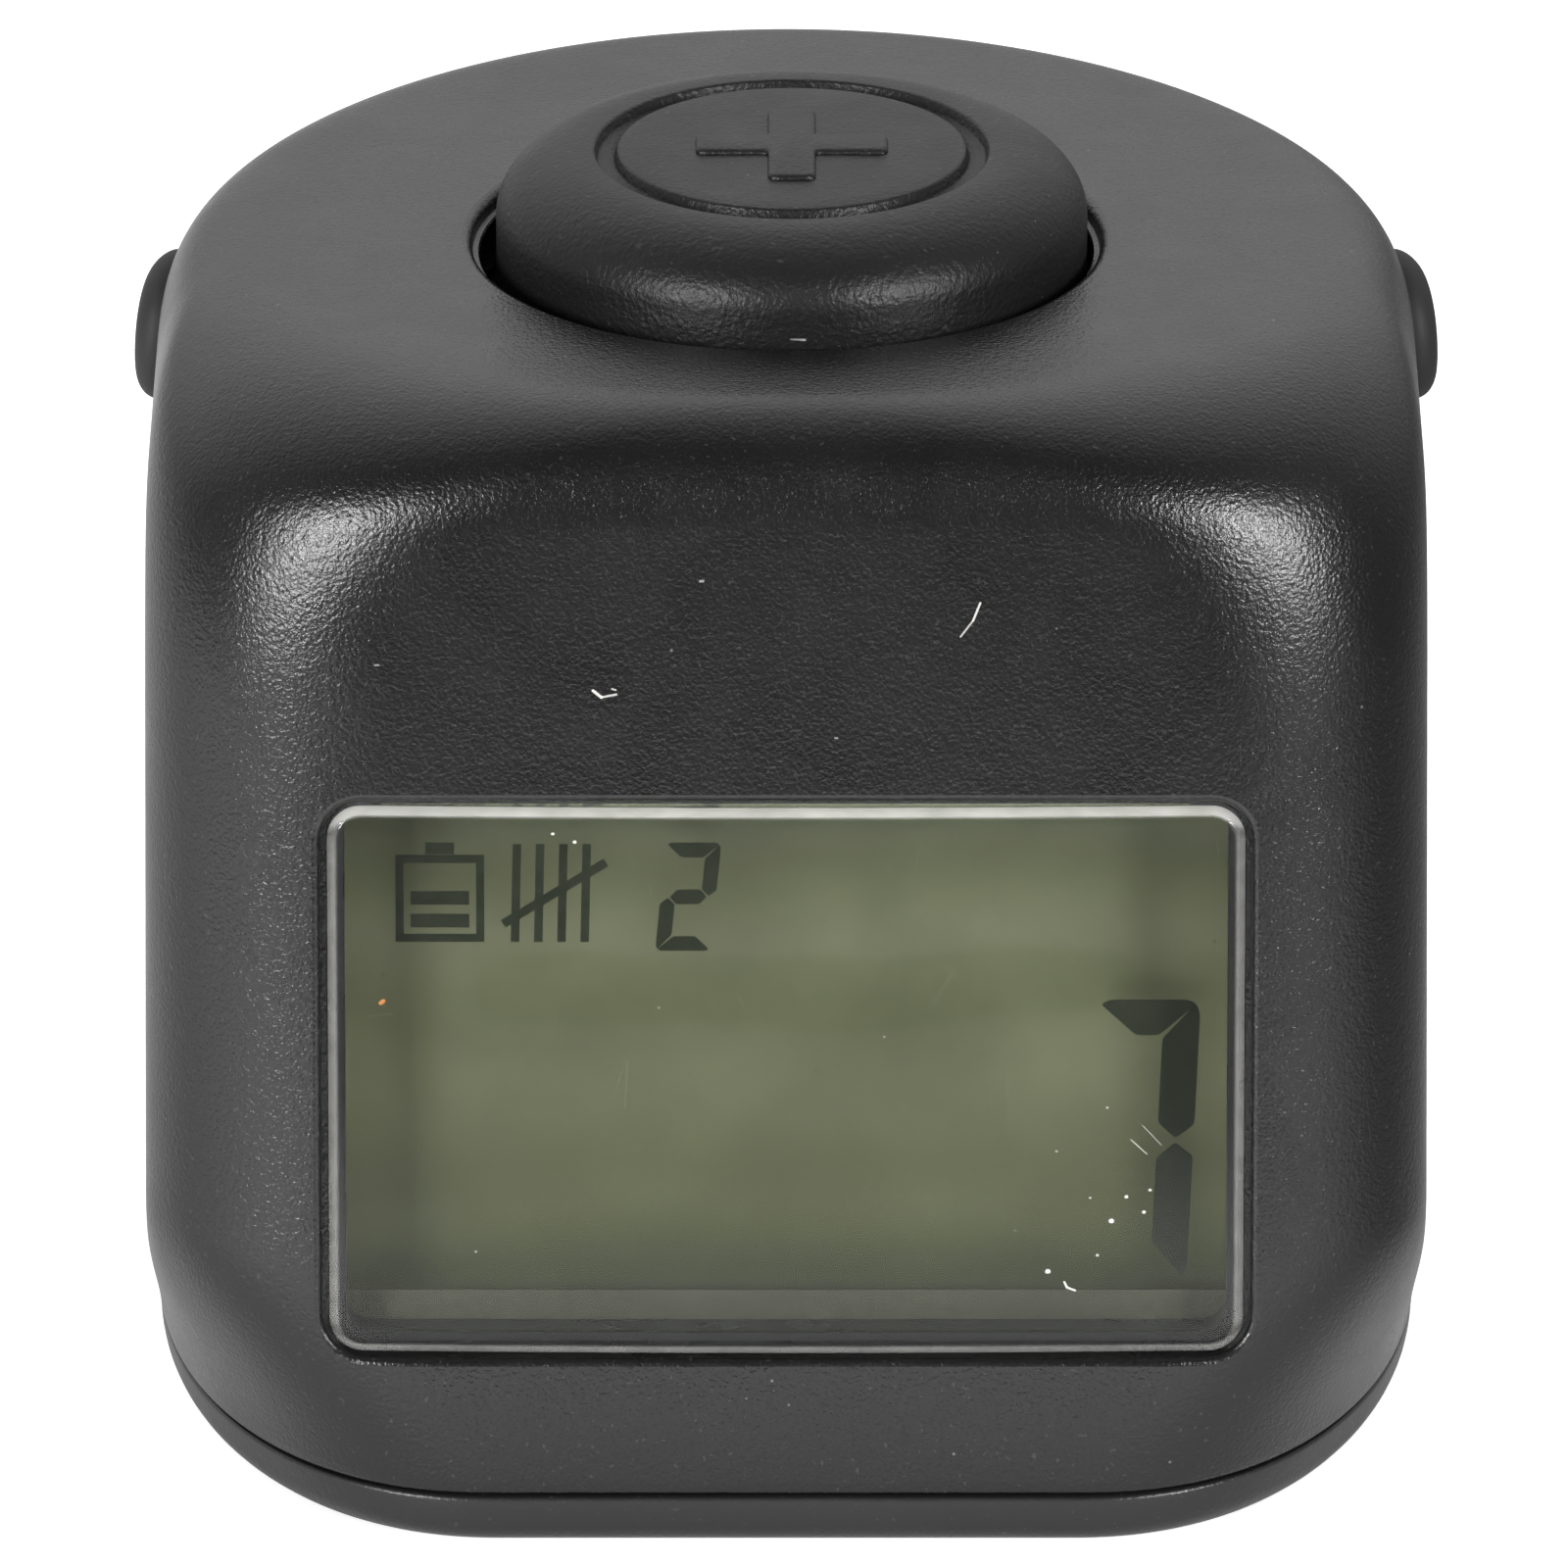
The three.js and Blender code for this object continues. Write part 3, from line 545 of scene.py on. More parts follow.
class Material(Graph):
    """Node material; 'spot' is the object's own coordinates in millimetres."""

    def __init__(self, name):
        self.data = bpy.data.materials.new(name)
        super().__init__(self.data)
        self.spot = self.node("TexCoord", {}, "Object")
        self.spot = self.scaled((1000, 1000, 1000))

    def scaled(self, scale, location=(0, 0, 0)):
        return self.node("Mapping", {"Vector": self.spot, "Scale": scale, "Location": location})

    def noise(self, scale, detail=2.0, rough=0.5, distortion=0.0, at=None):
        inputs = {"Vector": at or self.spot, "Scale": scale, "Detail": detail,
                  "Roughness": rough, "Distortion": distortion}
        return self.node("TexNoise", inputs, "Fac")

    def cells(self, scale, randomness=1.0, feature="F1", at=None):
        inputs = {"Vector": at or self.spot, "Scale": scale, "Randomness": randomness}
        return self.node("TexVoronoi", inputs, "Distance", feature=feature)

    def axis(self, index):
        return self.node("SeparateXYZ", {0: self.spot}, index)

    def near(self, start, end, width):
        """1 within half of width of a segment in the frame, fading to 0 at width."""
        start, run = Vector(start), Vector(end) - Vector(start)
        length = max(run.length, 1e-4)
        run = run / length
        offset = self.vector("SUBTRACT", self.spot, start)
        along = self.vector("DOT_PRODUCT", offset, run, "Value").max(0.0).math("MINIMUM", length)
        foot = self.node("VectorMath", {0: run, "Scale": along}, operation="SCALE")
        rest = self.vector("SUBTRACT", offset, foot)
        away = self.node("VectorMath", {0: rest}, "Value", operation="LENGTH")
        return away.ramp(over=(width * 0.5, width), to=(1.0, 0.0))

    def done(self, shader):
        self.node("OutputMaterial", {"Surface": shader})
        return self.data


def tone(color, factor):
    return tuple(min(1.0, part * factor) for part in color)


def around(value, less, more):
    return (value - less, value + more)


# ------------------------------------------------------------------ materials
METAL_ROUGHNESS_SHIFT = 0.0  # added to the roughness of every metal


def moulded(name, color, roughness, grain, relief, sparkle, dust, specular, marks=()):
    """Spark-eroded plastic: two sizes of grain, pits, slow tone drift, pale dust and rubs."""
    mat = Material(name)
    fine = mat.noise(scale=1.0 / grain, detail=2.0, rough=0.6)
    coarse = mat.noise(scale=0.45 / grain, detail=1.0)
    pits = mat.cells(scale=0.8 / grain)
    height = fine * 0.75 + (coarse * 0.35 + pits * 0.25)     # shares of the relief
    drift = mat.noise(scale=0.11, detail=3.0, rough=0.55)
    smear = mat.noise(scale=0.35, detail=4.0, rough=0.6, distortion=0.8)
    # the dark tone is 7% down and slightly warm
    dark = tuple(part * 0.93 * tint for part, tint in zip(color, (1.0, 0.99, 0.97)))
    shown = mat.mix(drift.ramp(), dark, tone(color, 1.07))
    # painted glints: tiny bright grains where a facet catches the light
    glint = mat.noise(scale=0.8 / grain, detail=0.0).above(0.79)
    shown = mat.mix(glint * (0.2 * sparkle), shown, to=(0.16, 0.16, 0.16))
    # dust specks: small cell centres, kept only where a slow mask lets them through
    speck = mat.cells(scale=1.05).below(0.045)
    moved = mat.scaled((1, 1, 1), location=(13, 7, 5))
    speck = speck * mat.noise(scale=0.9, detail=0.0, at=moved).above(0.60)
    shown = mat.mix(speck * (0.55 * dust), shown, to=(0.33, 0.32, 0.30))
    for start, end, width, strength in marks:
        shown = mat.mix(mat.near(start, end, width) * strength, shown, to=(0.62, 0.60, 0.57))
    rough = smear.ramp(over=(0.25, 0.75), to=around(roughness, less=0.035, more=0.04))
    rough = rough + glint * (-0.12 * sparkle)
    normal = height.bump(strength=1.0, distance=relief * MM)
    return mat.done(mat.principled(Base_Color=shown, Roughness=rough, Normal=normal, IOR=1.5,
                                   Specular_IOR_Level=specular))


def metal(name, color, roughness, grain, stretch):
    """Metal with stretched streaks and slow blots."""
    mat = Material(name)
    streak = mat.noise(scale=1.0 / grain, detail=3.0, rough=0.6, at=mat.scaled(stretch))
    blot = mat.noise(scale=0.5, detail=3.0, rough=0.6)
    shown = mat.mix(blot.ramp(over=(0.3, 0.72)), color, tone(color, 0.82))
    bright = streak.ramp(over=(0.55, 0.8)) * 0.125           # strength of the light streaks
    shown = mat.mix(bright, shown, tone(color, 1.2))
    rough = streak.ramp(to=around(roughness, less=0.06, more=0.08)) + METAL_ROUGHNESS_SHIFT
    normal = streak.bump(strength=0.25, distance=0.00001)
    return mat.done(mat.principled(Base_Color=shown, Roughness=rough, Metallic=1.0,
                                   Normal=normal))


def dull(name, color, roughness, scale, variation, relief, specular):
    """Plain uneven surface."""
    mat = Material(name)
    broad = mat.noise(scale=scale, detail=4.0, rough=0.6)
    fine = mat.noise(scale=scale * 6, detail=2.0)
    shown = mat.mix(broad.ramp(), tone(color, 1 - variation), tone(color, 1 + variation))
    rough = fine.ramp(to=around(roughness, less=0.07, more=0.07))
    normal = fine.bump(strength=relief, distance=0.00002)
    return mat.done(mat.principled(Base_Color=shown, Roughness=rough, Normal=normal,
                                   Specular_IOR_Level=specular))


def board(name):
    """Solder-masked glass board: woven ground, copper tracks under the mask, plated dots."""
    mat = Material(name)
    threads = 14.0               # radians per millimetre
    weave = (mat.axis(0) * threads).math("SINE") * (mat.axis(1) * threads).math("SINE")
    bricks = {"Scale": 0.9, "Mortar Size": 0.11, "Color1": (0, 0, 0), "Color2": (0, 0, 0),
              "Mortar": (1, 1, 1), "Vector": mat.spot}
    track = mat.node("TexBrick", bricks, "Fac", offset=0.35, squash=1.0)
    shown = mat.mix(weave.ramp(over=(-1, 1)), (0.010, 0.085, 0.035), (0.014, 0.105, 0.045))
    shown = mat.mix(track * 0.8, shown, to=(0.03, 0.19, 0.08))
    dot = mat.cells(scale=0.55, randomness=0.35).below(0.11)
    shown = mat.mix(dot, shown, to=(0.72, 0.68, 0.55))
    rough = 0.33 + dot * -0.05                               # dots are a little smoother
    height = track + weave * 0.1
    return mat.done(mat.principled(Base_Color=shown, Roughness=rough, Metallic=dot * 0.9,
                                   Normal=height.bump(strength=0.3, distance=0.00003)))


def clear(name, tint, roughness, gloss):
    """Thin clear film or glass: lets light straight through with a faint sheen."""
    mat = Material(name)
    uneven = mat.noise(scale=0.25, detail=3.0, rough=0.6).ramp()
    through = mat.node("BsdfTransparent", {"Color": mat.mix(uneven, tint, tone(tint, 0.97))})
    sheen = mat.node("BsdfGlossy", {"Roughness": roughness})
    amount = mat.node("Fresnel", {"IOR": 1.5}) * gloss
    return mat.done(mat.mix_shader(amount, through, sheen))


def covered(mat, shader, amount, color):
    """A matt colour laid over a shader."""
    return mat.mix_shader(amount, shader, mat.node("BsdfDiffuse", {"Color": color}))


def painted_edge_highlight(mat):
    """Painted highlight on the rolled edge: how much pale matt colour it gets, by the way it faces.
    """
    normal = mat.node("NewGeometry", {}, "Normal")
    outward = mat.vector("DOT_PRODUCT", normal, (0.0, -COS_LEAN, SIN_LEAN), "Value")
    upward = mat.vector("DOT_PRODUCT", normal, (0.0, SIN_LEAN, COS_LEAN), "Value")
    band = (outward.ramp(over=(0.30, 0.50), soft=True)
            * outward.ramp(over=(0.90, 0.985), to=(1.0, 0.0), soft=True))
    top = upward.ramp(over=(0.10, 0.42), to=(0.0, 0.44), soft=True)
    bottom = (upward * -1.0).ramp(over=(0.10, 0.42), to=(0.0, 0.15), soft=True)
    sides = abs(upward).ramp(over=(0.0, 0.30), to=(0.17, 0.0), soft=True)
    uneven = mat.noise(scale=2.4, at=mat.scaled((0.35, 1.0, 1.0))).ramp(to=(0.72, 1.0))
    return band * uneven * (sides + (top + bottom))


def acrylic(name, marks=(), edge=False):
    """Clear acrylic: refracts for the camera, passes shadow and diffuse rays, with marks, and with
    'edge' a painted highlight on the rolled edge.
    """
    mat = Material(name)
    hair = mat.cells(scale=0.34, feature="DISTANCE_TO_EDGE", at=mat.scaled((1.0, 1.0, 0.35)))
    scratch = hair.below(0.004) * mat.noise(scale=0.5, detail=1.0).above(0.62)
    solid = mat.principled(Base_Color=(0.97, 0.985, 0.975), Roughness=scratch * 0.25, IOR=1.21,
                           Transmission_Weight=1.0)
    through = mat.node("BsdfTransparent", {"Color": (0.93, 0.94, 0.935)})
    shadow = mat.node("LightPath", {}, "Is Shadow Ray")
    shader = mat.mix_shader(shadow.max(shadow.output("Is Diffuse Ray")), solid, through)
    if edge:
        # painted highlight: pale matt colour over the rolled edge, most on the top
        shader = covered(mat, shader, painted_edge_highlight(mat), (0.80, 0.79, 0.76))
    for start, end, width, strength, color in marks:
        shader = covered(mat, shader, mat.near(start, end, width) * strength, color)
    return mat.done(shader)


# painted reflection and shade: colour bands by height, darker towards the bottom
REFLECTOR_PAINTED_BANDS = [  # share of the height, colour
    (0, (0.051, 0.045, 0.030)), (0.08, (0.050, 0.045, 0.021)), (0.152, (0.093, 0.077, 0.048)),
    (0.26, (0.122, 0.098, 0.072)), (0.34, (0.166, 0.133, 0.111)), (0.42, (0.180, 0.146, 0.124)),
    (0.545, (0.150, 0.123, 0.100)), (0.652, (0.177, 0.143, 0.126)),
    (0.73, (0.148, 0.122, 0.101)), (0.795, (0.115, 0.094, 0.078)),
    (0.866, (0.125, 0.102, 0.095)), (1, (0.120, 0.098, 0.088))]


def reflector(name):
    """Grey-green reflective film with painted reflection bands by height, painted shade at the left
    end, painted light towards both ends, and a few flecks.
    """
    mat = Material(name)
    height, x = mat.axis(2), mat.axis(0)
    height = height + (mat.noise(scale=0.12) - 0.5) * 1.6    # the bands wander by up to 0.8 mm
    painted_bands = mat.node("ValToRGB", {0: height.ramp(over=(5.6, 20.8))})
    ramp = painted_bands.socket.node.color_ramp
    stops = [ramp.elements[0], ramp.elements[1]]
    for stop, (position, color) in zip(stops, (REFLECTOR_PAINTED_BANDS[0], REFLECTOR_PAINTED_BANDS[-1])):
        stop.position, stop.color = position, (*color, 1)
    for position, color in REFLECTOR_PAINTED_BANDS[1:-1]:
        ramp.elements.new(position).color = (*color, 1)
    ramp.interpolation = "CARDINAL"
    # painted shade: 7% darker at the left end
    left = mat.mix(x.ramp(over=(-10.2, -9.2)), (0.93, 0.93, 0.93), (1.0, 1.0, 1.0))
    shown = mat.mix(1.0, painted_bands, left, blend="MULTIPLY")
    # painted reflection: a slow darker lozenge across the upper half: centre (0.5, 14.1), 7.3 to each
    # side
    sideways = (abs(x - 0.5) - 7.3).max(0.0)
    upward = height - 14.1
    reach = (sideways * (sideways * 0.35) + upward * upward).math("SQRT")
    painted_reflection_lozenge = reach.ramp(over=(0.75, 1.15), to=(0.42, 0.0), soft=True)
    shown = mat.mix(painted_reflection_lozenge, shown, to=(0.118, 0.102, 0.070))
    # painted light: a little more light towards both ends
    ends = abs(x).ramp(over=(9.2, 11.6), to=(1.0, 1.45), soft=True)
    grey = mat.node("CombineColor", {0: ends, 1: ends, 2: ends})
    shown = mat.mix(1.0, shown, grey, blend="MULTIPLY")
    grain = mat.noise(scale=5.0, detail=3.0, rough=0.6)
    shown = mat.mix(grain.ramp(over=(0.35, 0.7)) * 0.05, shown, to=(0.31, 0.32, 0.23))
    fleck = mat.cells(scale=0.8).below(0.05) * mat.noise(scale=0.7, detail=0.0).above(0.55)
    shown = mat.mix(fleck * 0.5, shown, to=(0.10, 0.10, 0.08))
    return mat.done(mat.principled(Base_Color=shown, Roughness=grain.ramp(to=(0.55, 0.62))))


def ink(name):
    """Switched-on liquid crystal: almost black, slightly uneven."""
    mat = Material(name)
    uneven = mat.noise(scale=2.0, detail=3.0, rough=0.6).ramp()
    shown = mat.mix(uneven, (0.024, 0.024, 0.022), (0.036, 0.036, 0.033))
    return mat.done(mat.principled(Base_Color=shown, Roughness=0.6, Specular_IOR_Level=0.1))


def zebra(name):
    """Strip of dark and pale stripes, 12 radians of wave per millimetre."""
    mat = Material(name)
    stripe = (mat.axis(0) * 12.0).math("SINE").above(0.0)
    shown = mat.mix(stripe * 0.9, (0.30, 0.27, 0.24), (0.02, 0.02, 0.02))
    rough = mat.noise(scale=6).ramp(to=(0.6, 0.75))
    return mat.done(mat.principled(Base_Color=shown, Roughness=rough))


# rubs and lint on the case: start and end on the face (across, up), width, strength
CASE_RUBS = [
    ((-5.12, 23.90), (-4.90, 23.72), 0.05, 0.75), ((-4.90, 23.72), (-4.50, 23.80), 0.035, 0.6),
    ((-4.62, 23.95), (-4.52, 23.92), 0.03, 0.5), ((5.14, 26.30), (4.95, 25.82), 0.035, 0.75),
    ((4.95, 25.82), (4.62, 25.38), 0.030, 0.55), ((-2.28, 26.9), (-2.20, 26.9), 0.04, 0.35),
    ((9.1, 4.1), (9.25, 4.15), 0.035, 0.4), ((1.3, 22.6), (1.36, 22.6), 0.03, 0.3),
    ((-10.9, 24.6), (-10.8, 24.6), 0.035, 0.3), ((4.42, 4.9), (4.42, 1.7), 0.012, 0.10)]
CASE_MARKS = [(front_point(*start), front_point(*end), width, strength)
              for start, end, width, strength in CASE_RUBS]
# on the count button: start and end in the frame, width, strength
KEY_MARKS = [((0.12, -7.92, 30.9), (0.5, -7.9, 30.88), 0.05, 0.5),
             ((5.2, -1.6, 33.1), (5.75, 0.5, 33.05), 0.03, 0.35),
             ((5.75, 0.5, 33.05), (5.3, 2.4, 33.1), 0.025, 0.3),
             ((-4.6, -4.2, 33.0), (-4.5, -4.15, 33.0), 0.05, 0.35)]
PALE = (0.72, 0.71, 0.66)
RUST = (0.42, 0.17, 0.06)
LENS_SPOTS = [  # across, up, width, strength
    (8.67, 9.25, 0.075, 0.9), (6.98, 7.86, 0.075, 0.9), (9.54, 9.49, 0.055, 0.7),
    (9.07, 9.92, 0.055, 0.7), (9.70, 10.1, 0.05, 0.55), (-6.21, 19.97, 0.05, 0.6),
    (-5.63, 19.75, 0.055, 0.7), (8.1, 9.9, 0.04, 0.5), (7.2, 11.2, 0.04, 0.45),
    (6.1, 9.0, 0.035, 0.4), (8.3, 8.3, 0.05, 0.45), (8.55, 12.4, 0.04, 0.5),
    (-3.4, 15.2, 0.035, 0.35), (2.6, 14.4, 0.035, 0.35), (-8.3, 8.4, 0.035, 0.35)]
LENS_RUBS = [  # start and end (across, up), width, strength, colour
    ((7.43, 7.56), (7.50, 7.41), 0.035, 0.8, PALE), ((7.50, 7.41), (7.72, 7.32), 0.035, 0.8, PALE),
    ((-10.80, 15.27), (-10.72, 15.33), 0.07, 0.8, RUST),
    ((9.2, 11.5), (9.62, 11.1), 0.022, 0.4, PALE), ((9.5, 11.9), (10.0, 11.35), 0.018, 0.3, PALE)]


def lens_point(across, up):
    return front_point(across, up, lens_depth(across, up))


LENS_MARKS = [(lens_point(across, up), lens_point(across + 0.02, up), width, strength, PALE)
              for across, up, width, strength in LENS_SPOTS]
LENS_MARKS += [(lens_point(*start), lens_point(*end), width, strength, color)
               for start, end, width, strength, color in LENS_RUBS]

MOULDED = {  # name, colour, roughness, grain size, relief (mm), sparkle, dust, specular, marks
    "case": ("spark_eroded_case", (0.0035, 0.0035, 0.0036), 0.285, 0.105, 0.028, 0.5, 0.5, 0.5,
             CASE_MARKS),
    "base": ("spark_eroded_base", (0.009, 0.009, 0.0092), 0.36, 0.115, 0.017, 0.5, 0.25, 0.5),
    "button": ("satin_button", (0.006, 0.006, 0.0061), 0.41, 0.14, 0.034, 0.45, 0.5, 0.30,
               KEY_MARKS),
    "rubber": ("side_rubber", (0.018, 0.018, 0.0185), 0.62, 0.09, 0.006, 0.1, 0.35, 0.35),
    "frame": ("moulded_bezel", (0.045, 0.045, 0.046), 0.6, 0.16, 0.012, 0.5, 0.1, 0.5),
}
DULL = {  # name, colour, roughness, noise scale, tone variation, bump strength, specular
    "adhesive": ("black_foam_tape", (0.012, 0.012, 0.012), 0.85, 8.0, 0.3, 0.8, 0.2),
    # painted shade: the border sheet's colour stands in for shade at the bottom of the display
    "print": ("dark_border_print", (0.056, 0.054, 0.044), 0.5, 3.0, 0.25, 0.1, 0.3),
    "epoxy": ("epoxy_drop", (0.012, 0.012, 0.013), 0.28, 1.5, 0.3, 0.15, 0.5),
    "ceramic": ("ceramic_chip", (0.38, 0.25, 0.14), 0.55, 5.0, 0.2, 0.3, 0.5),
    "ribbon": ("ribbon_film", (0.46, 0.24, 0.05), 0.35, 2.0, 0.18, 0.1, 0.5),
    "switch": ("switch_body_plastic", (0.03, 0.03, 0.033), 0.45, 4.0, 0.2, 0.3, 0.5),
    "plunger": ("plunger_plastic", (0.55, 0.09, 0.05), 0.42, 4.0, 0.12, 0.2, 0.5),
    "wire_black": ("black_wire", (0.015, 0.015, 0.015), 0.45, 3.0, 0.2, 0.2, 0.5),
    "wire_red": ("red_wire", (0.42, 0.02, 0.015), 0.45, 3.0, 0.15, 0.2, 0.5),
}
METAL = {  # name, colour, roughness, grain size, stretch of the streaks
    "zinc": ("zinc_plated_steel", (0.62, 0.61, 0.58), 0.30, 0.3, (1, 1, 1)),
    "cell": ("cell_steel", (0.66, 0.66, 0.65), 0.22, 0.12, (1, 1, 0.15)),
    "nickel": ("nickel_strip", (0.67, 0.62, 0.53), 0.26, 0.15, (1, 0.2, 1)),
    "spring": ("spring_steel", (0.55, 0.55, 0.56), 0.25, 0.1, (1, 1, 3)),
}
LOOKS = {
    "lens": acrylic("clear_acrylic", marks=LENS_MARKS),
    "lens_edge": acrylic("acrylic_edge_painted_highlight", edge=True),
    "polarizer": clear("neutral_film", tint=(0.93, 0.94, 0.90), roughness=0.15, gloss=0.03),
    "glass": clear("float_glass", tint=(0.965, 0.985, 0.965), roughness=0.03, gloss=0.03),
    "reflector": reflector("grey_green_reflector_painted_light"),
    "ink": ink("dark_segments"),
    "zebra": zebra("conductive_strip"),
    "board": board("solder_masked_board"),
}
for family, table in ((moulded, MOULDED), (dull, DULL), (metal, METAL)):
    LOOKS.update({look: family(*row) for look, row in table.items()})


# ------------------------------------------------------------------ case housing
HOUSING_EDGE = 0.16          # rounded edge along the parting line
PLATEAU_R = 9.0              # flat ring just outside the button hole
POCKET_GAP = 0.22
POCKET_DEEP = 1.0
WINDOW_INSET = 0.30          # window inside the lens on all sides
BAY = dict(x0=-12.95, x1=12.95, y0=2.2, y1=9, z0=3.6, z1=22.4)   # across, depth, up
POSTS = [(-11.3, -0.6), (11.3, -0.6)]
POST_R = 1.5
PCB_TOP = 22.25
DISPLAY_SCREW_ACROSS = 13.95
DISPLAY_SCREW_UP = 13.2
PAD_IN = 13.75               # inner x of the blocks behind the side buttons
MOUTH_ROLL = 0.30
MOUTH_STEP = [(0, -1.1), (-0.17, -1.0), (-0.20, -0.47), (-0.16, -0.42), (-0.02, -0.40)]


def housing_outer():
    angles = even_angles(z=14.0, inset=0.0, count=420)
    bottom = PARTING_Z + SEAM / 2
    rings = [outline(bottom + HOUSING_EDGE * rise, HOUSING_EDGE * inset, angles)
             for rise, inset in rolled(4)]
    heights = [*np.linspace(bottom + HOUSING_EDGE, 9.0, 24)[1:],
               *np.linspace(9.0, TOP_ROUND_START, 30)[1:]]
    heights += [TOP_ROUND_START + TOP_ROUND_H * math.sin(i / 64 * math.pi / 2)
                for i in range(1, 65)]
    rings += [outline(z, 0, angles) for z in heights]
    # flat top, blended from the outline to a circle and closed inwards
    top, plateau = rings[-1], circle(PLATEAU_R, CASE_H, angles)
    rings += [top * (1 - share) + plateau * share for share in (0.12, 0.3, 0.5, 0.7, 0.88, 1.0)]
    rings += [circle(radius, CASE_H, angles) for radius in (8.85, 8.7, 8.4, 4.0)]
    return loft(rings, "housing_skin")


def liner():
    """Solid that fills the inside of the housing."""
    angles = even_angles(z=14.0, inset=WALL, count=180)
    heights = [PARTING_Z - 0.8, 2.4, 4, 6, 9, 12, 16, 19]
    heights += [TOP_ROUND_START - ROOF + TOP_ROUND_H * math.sin(i / 20 * math.pi / 2)
                for i in range(21)]
    return loft([inner_outline(z, WALL, angles) for z in heights])


def pocket_cutter():
    """Lens pocket with a rolled edge that follows the case surface."""
    roll = 0.24
    half = LENS_HALF + POCKET_GAP + 0.14
    low = LENS_LOW - POCKET_GAP - 0.06
    high = LENS_HIGH + POCKET_GAP - 0.06

    def ring(grow, depth=None, below_skin=0.0):
        across, up = round_rect(half, low, high, LENS_R + 0.2, grow=grow).T
        if depth is None:
            depth = np.minimum(skin_depth(across, up) + below_skin, POCKET_DEEP - 0.02)
        return on_face(across, depth, up)

    rings = [ring(0, depth=POCKET_DEEP)]
    rings += [ring(roll * out, below_skin=roll * down) for out, down in rolled(6, share=0.9)]
    rings.append(ring(roll + 0.02, below_skin=-0.25))
    rings.append(ring(roll + 0.02, depth=-2.0))
    return loft(rings)


def window_cutter():
    across, up = round_rect(LENS_HALF - WINDOW_INSET, LENS_LOW + WINDOW_INSET,
                            LENS_HIGH - WINDOW_INSET, radius=0.6).T
    return loft([on_face(across, depth, up) for depth in (0.0, 4.0)])


def side_circle(radius, angles):
    return SIDE_Y + radius * np.cos(angles), SIDE_Z + radius * np.sin(angles)


def side_ring(radius, x, angles):
    return np.stack([np.broadcast_to(x, angles.shape), *side_circle(radius, angles)], -1)


def side_skin(radius, angles):
    """Half width of the case round a circle about the side button's axis."""
    y, z = side_circle(radius, angles)
    return bisect(lambda x: field(x, y, z), 8.0, 20.0)


def side_hole(side):
    """Side button hole: straight bore with a rolled lip on the curved side."""
    radius, roll = SIDE_R + 0.15, 0.14
    angles = full_turn(72)
    rings = [side_ring(radius, 15.1, angles)]
    for out, down in rolled(4, share=0.85):
        wide = radius + roll * out
        x = np.maximum(side_skin(wide, angles) - roll * down, 15.12)
        rings.append(side_ring(wide, x, angles))
    mouth = radius + roll * 0.95
    rings.append(side_ring(mouth, side_skin(radius + roll, angles) + 0.2, angles))
    rings.append(side_ring(mouth, 20.0, angles))
    return loft([ring * (side, 1, 1) for ring in rings])


def mouth_cutter():
    """Button hole with a small step and a rolled lip."""
    lip = HOLE_R + MOUTH_ROLL
    profile = [(0, 27.8), (HOLE_R, 27.8)]
    profile += [(HOLE_R + out, CASE_H + up) for out, up in MOUTH_STEP]
    profile += arc(lip, CASE_H - MOUTH_ROLL, MOUTH_ROLL, 180, 97, 8)
    profile += [(lip, CASE_H + 0.04), (lip, 34), (0, 34)]
    return revolve(profile, segments=180)


def build_housing():
    body = housing_outer()
    cavity = fuse(liner(), lean_back(box(**BAY)))
    display_screws = [-DISPLAY_SCREW_ACROSS, DISPLAY_SCREW_ACROSS]
    solids = [rod(BOSS_R, 2.35, 29.6, (x, y, 0)) for x, y in BOSSES]
    solids += [rod(POST_R, PCB_TOP + 0.1, 29.4, (x, y, 0)) for x, y in POSTS]
    solids += [box(x0, x1, SIDE_Y - 3, SIDE_Y + 3, 23.9, 29.0)
               for x0, x1 in ((-SIDE_BACK, -PAD_IN), (PAD_IN, SIDE_BACK))]
    solids += [face_rod(1.05, 2.3, 6.0, across, DISPLAY_SCREW_UP, segments=32)
               for across in display_screws]
    cut(cavity, joined(solids))
    holes = [rod(0.8, 2.0, 9.0, (x, y, 0), segments=24) for x, y in BOSSES]
    holes += [rod(0.65, 22.0, 26.1, (x, y, 0), segments=24) for x, y in POSTS]
    holes += [face_rod(0.62, 3.4, 6.2, across, DISPLAY_SCREW_UP, segments=24)
              for across in display_screws]
    fuse(cavity, joined(holes), window_cutter(), pocket_cutter())
    for side in (-1, 1):
        stem = side_rod(SIDE_STEM_R + 0.2, *sorted((side * 13, side * 16)))
        fuse(cavity, side_hole(side), stem)
    fuse(cavity, mouth_cutter())
    place(cut(body, cavity), "case", "case", "case_plastic", "housing", sharp=32)


build_housing()


# ------------------------------------------------------------------ base cover and battery door
BASE_EDGE = 0.13             # rounded edge along the parting line
LIP_INSET = WALL + 0.15
LIP_WALL = 1.2
BORE_R = 6.15                # cell bore
PLUG_R = 5.85                # disc on the door's inner side
GROOVE_Y = CELL_Y - 5.0      # finger nail groove: centre, half length, radius
GROOVE_HALF = 2.0
GROOVE_R = 0.4


def screw_hole(x, y, head, deep, shank, end, segments):
    """Hole with a head recess that flares at the bottom face."""
    flare = 0.07
    profile = [(0, -1), (head + flare, -1), (head + flare, 0.0), (head, flare), (head, deep),
               (shank, deep), (shank, end), (0, end)]
    return revolve(profile, segments, (x, y, 0))


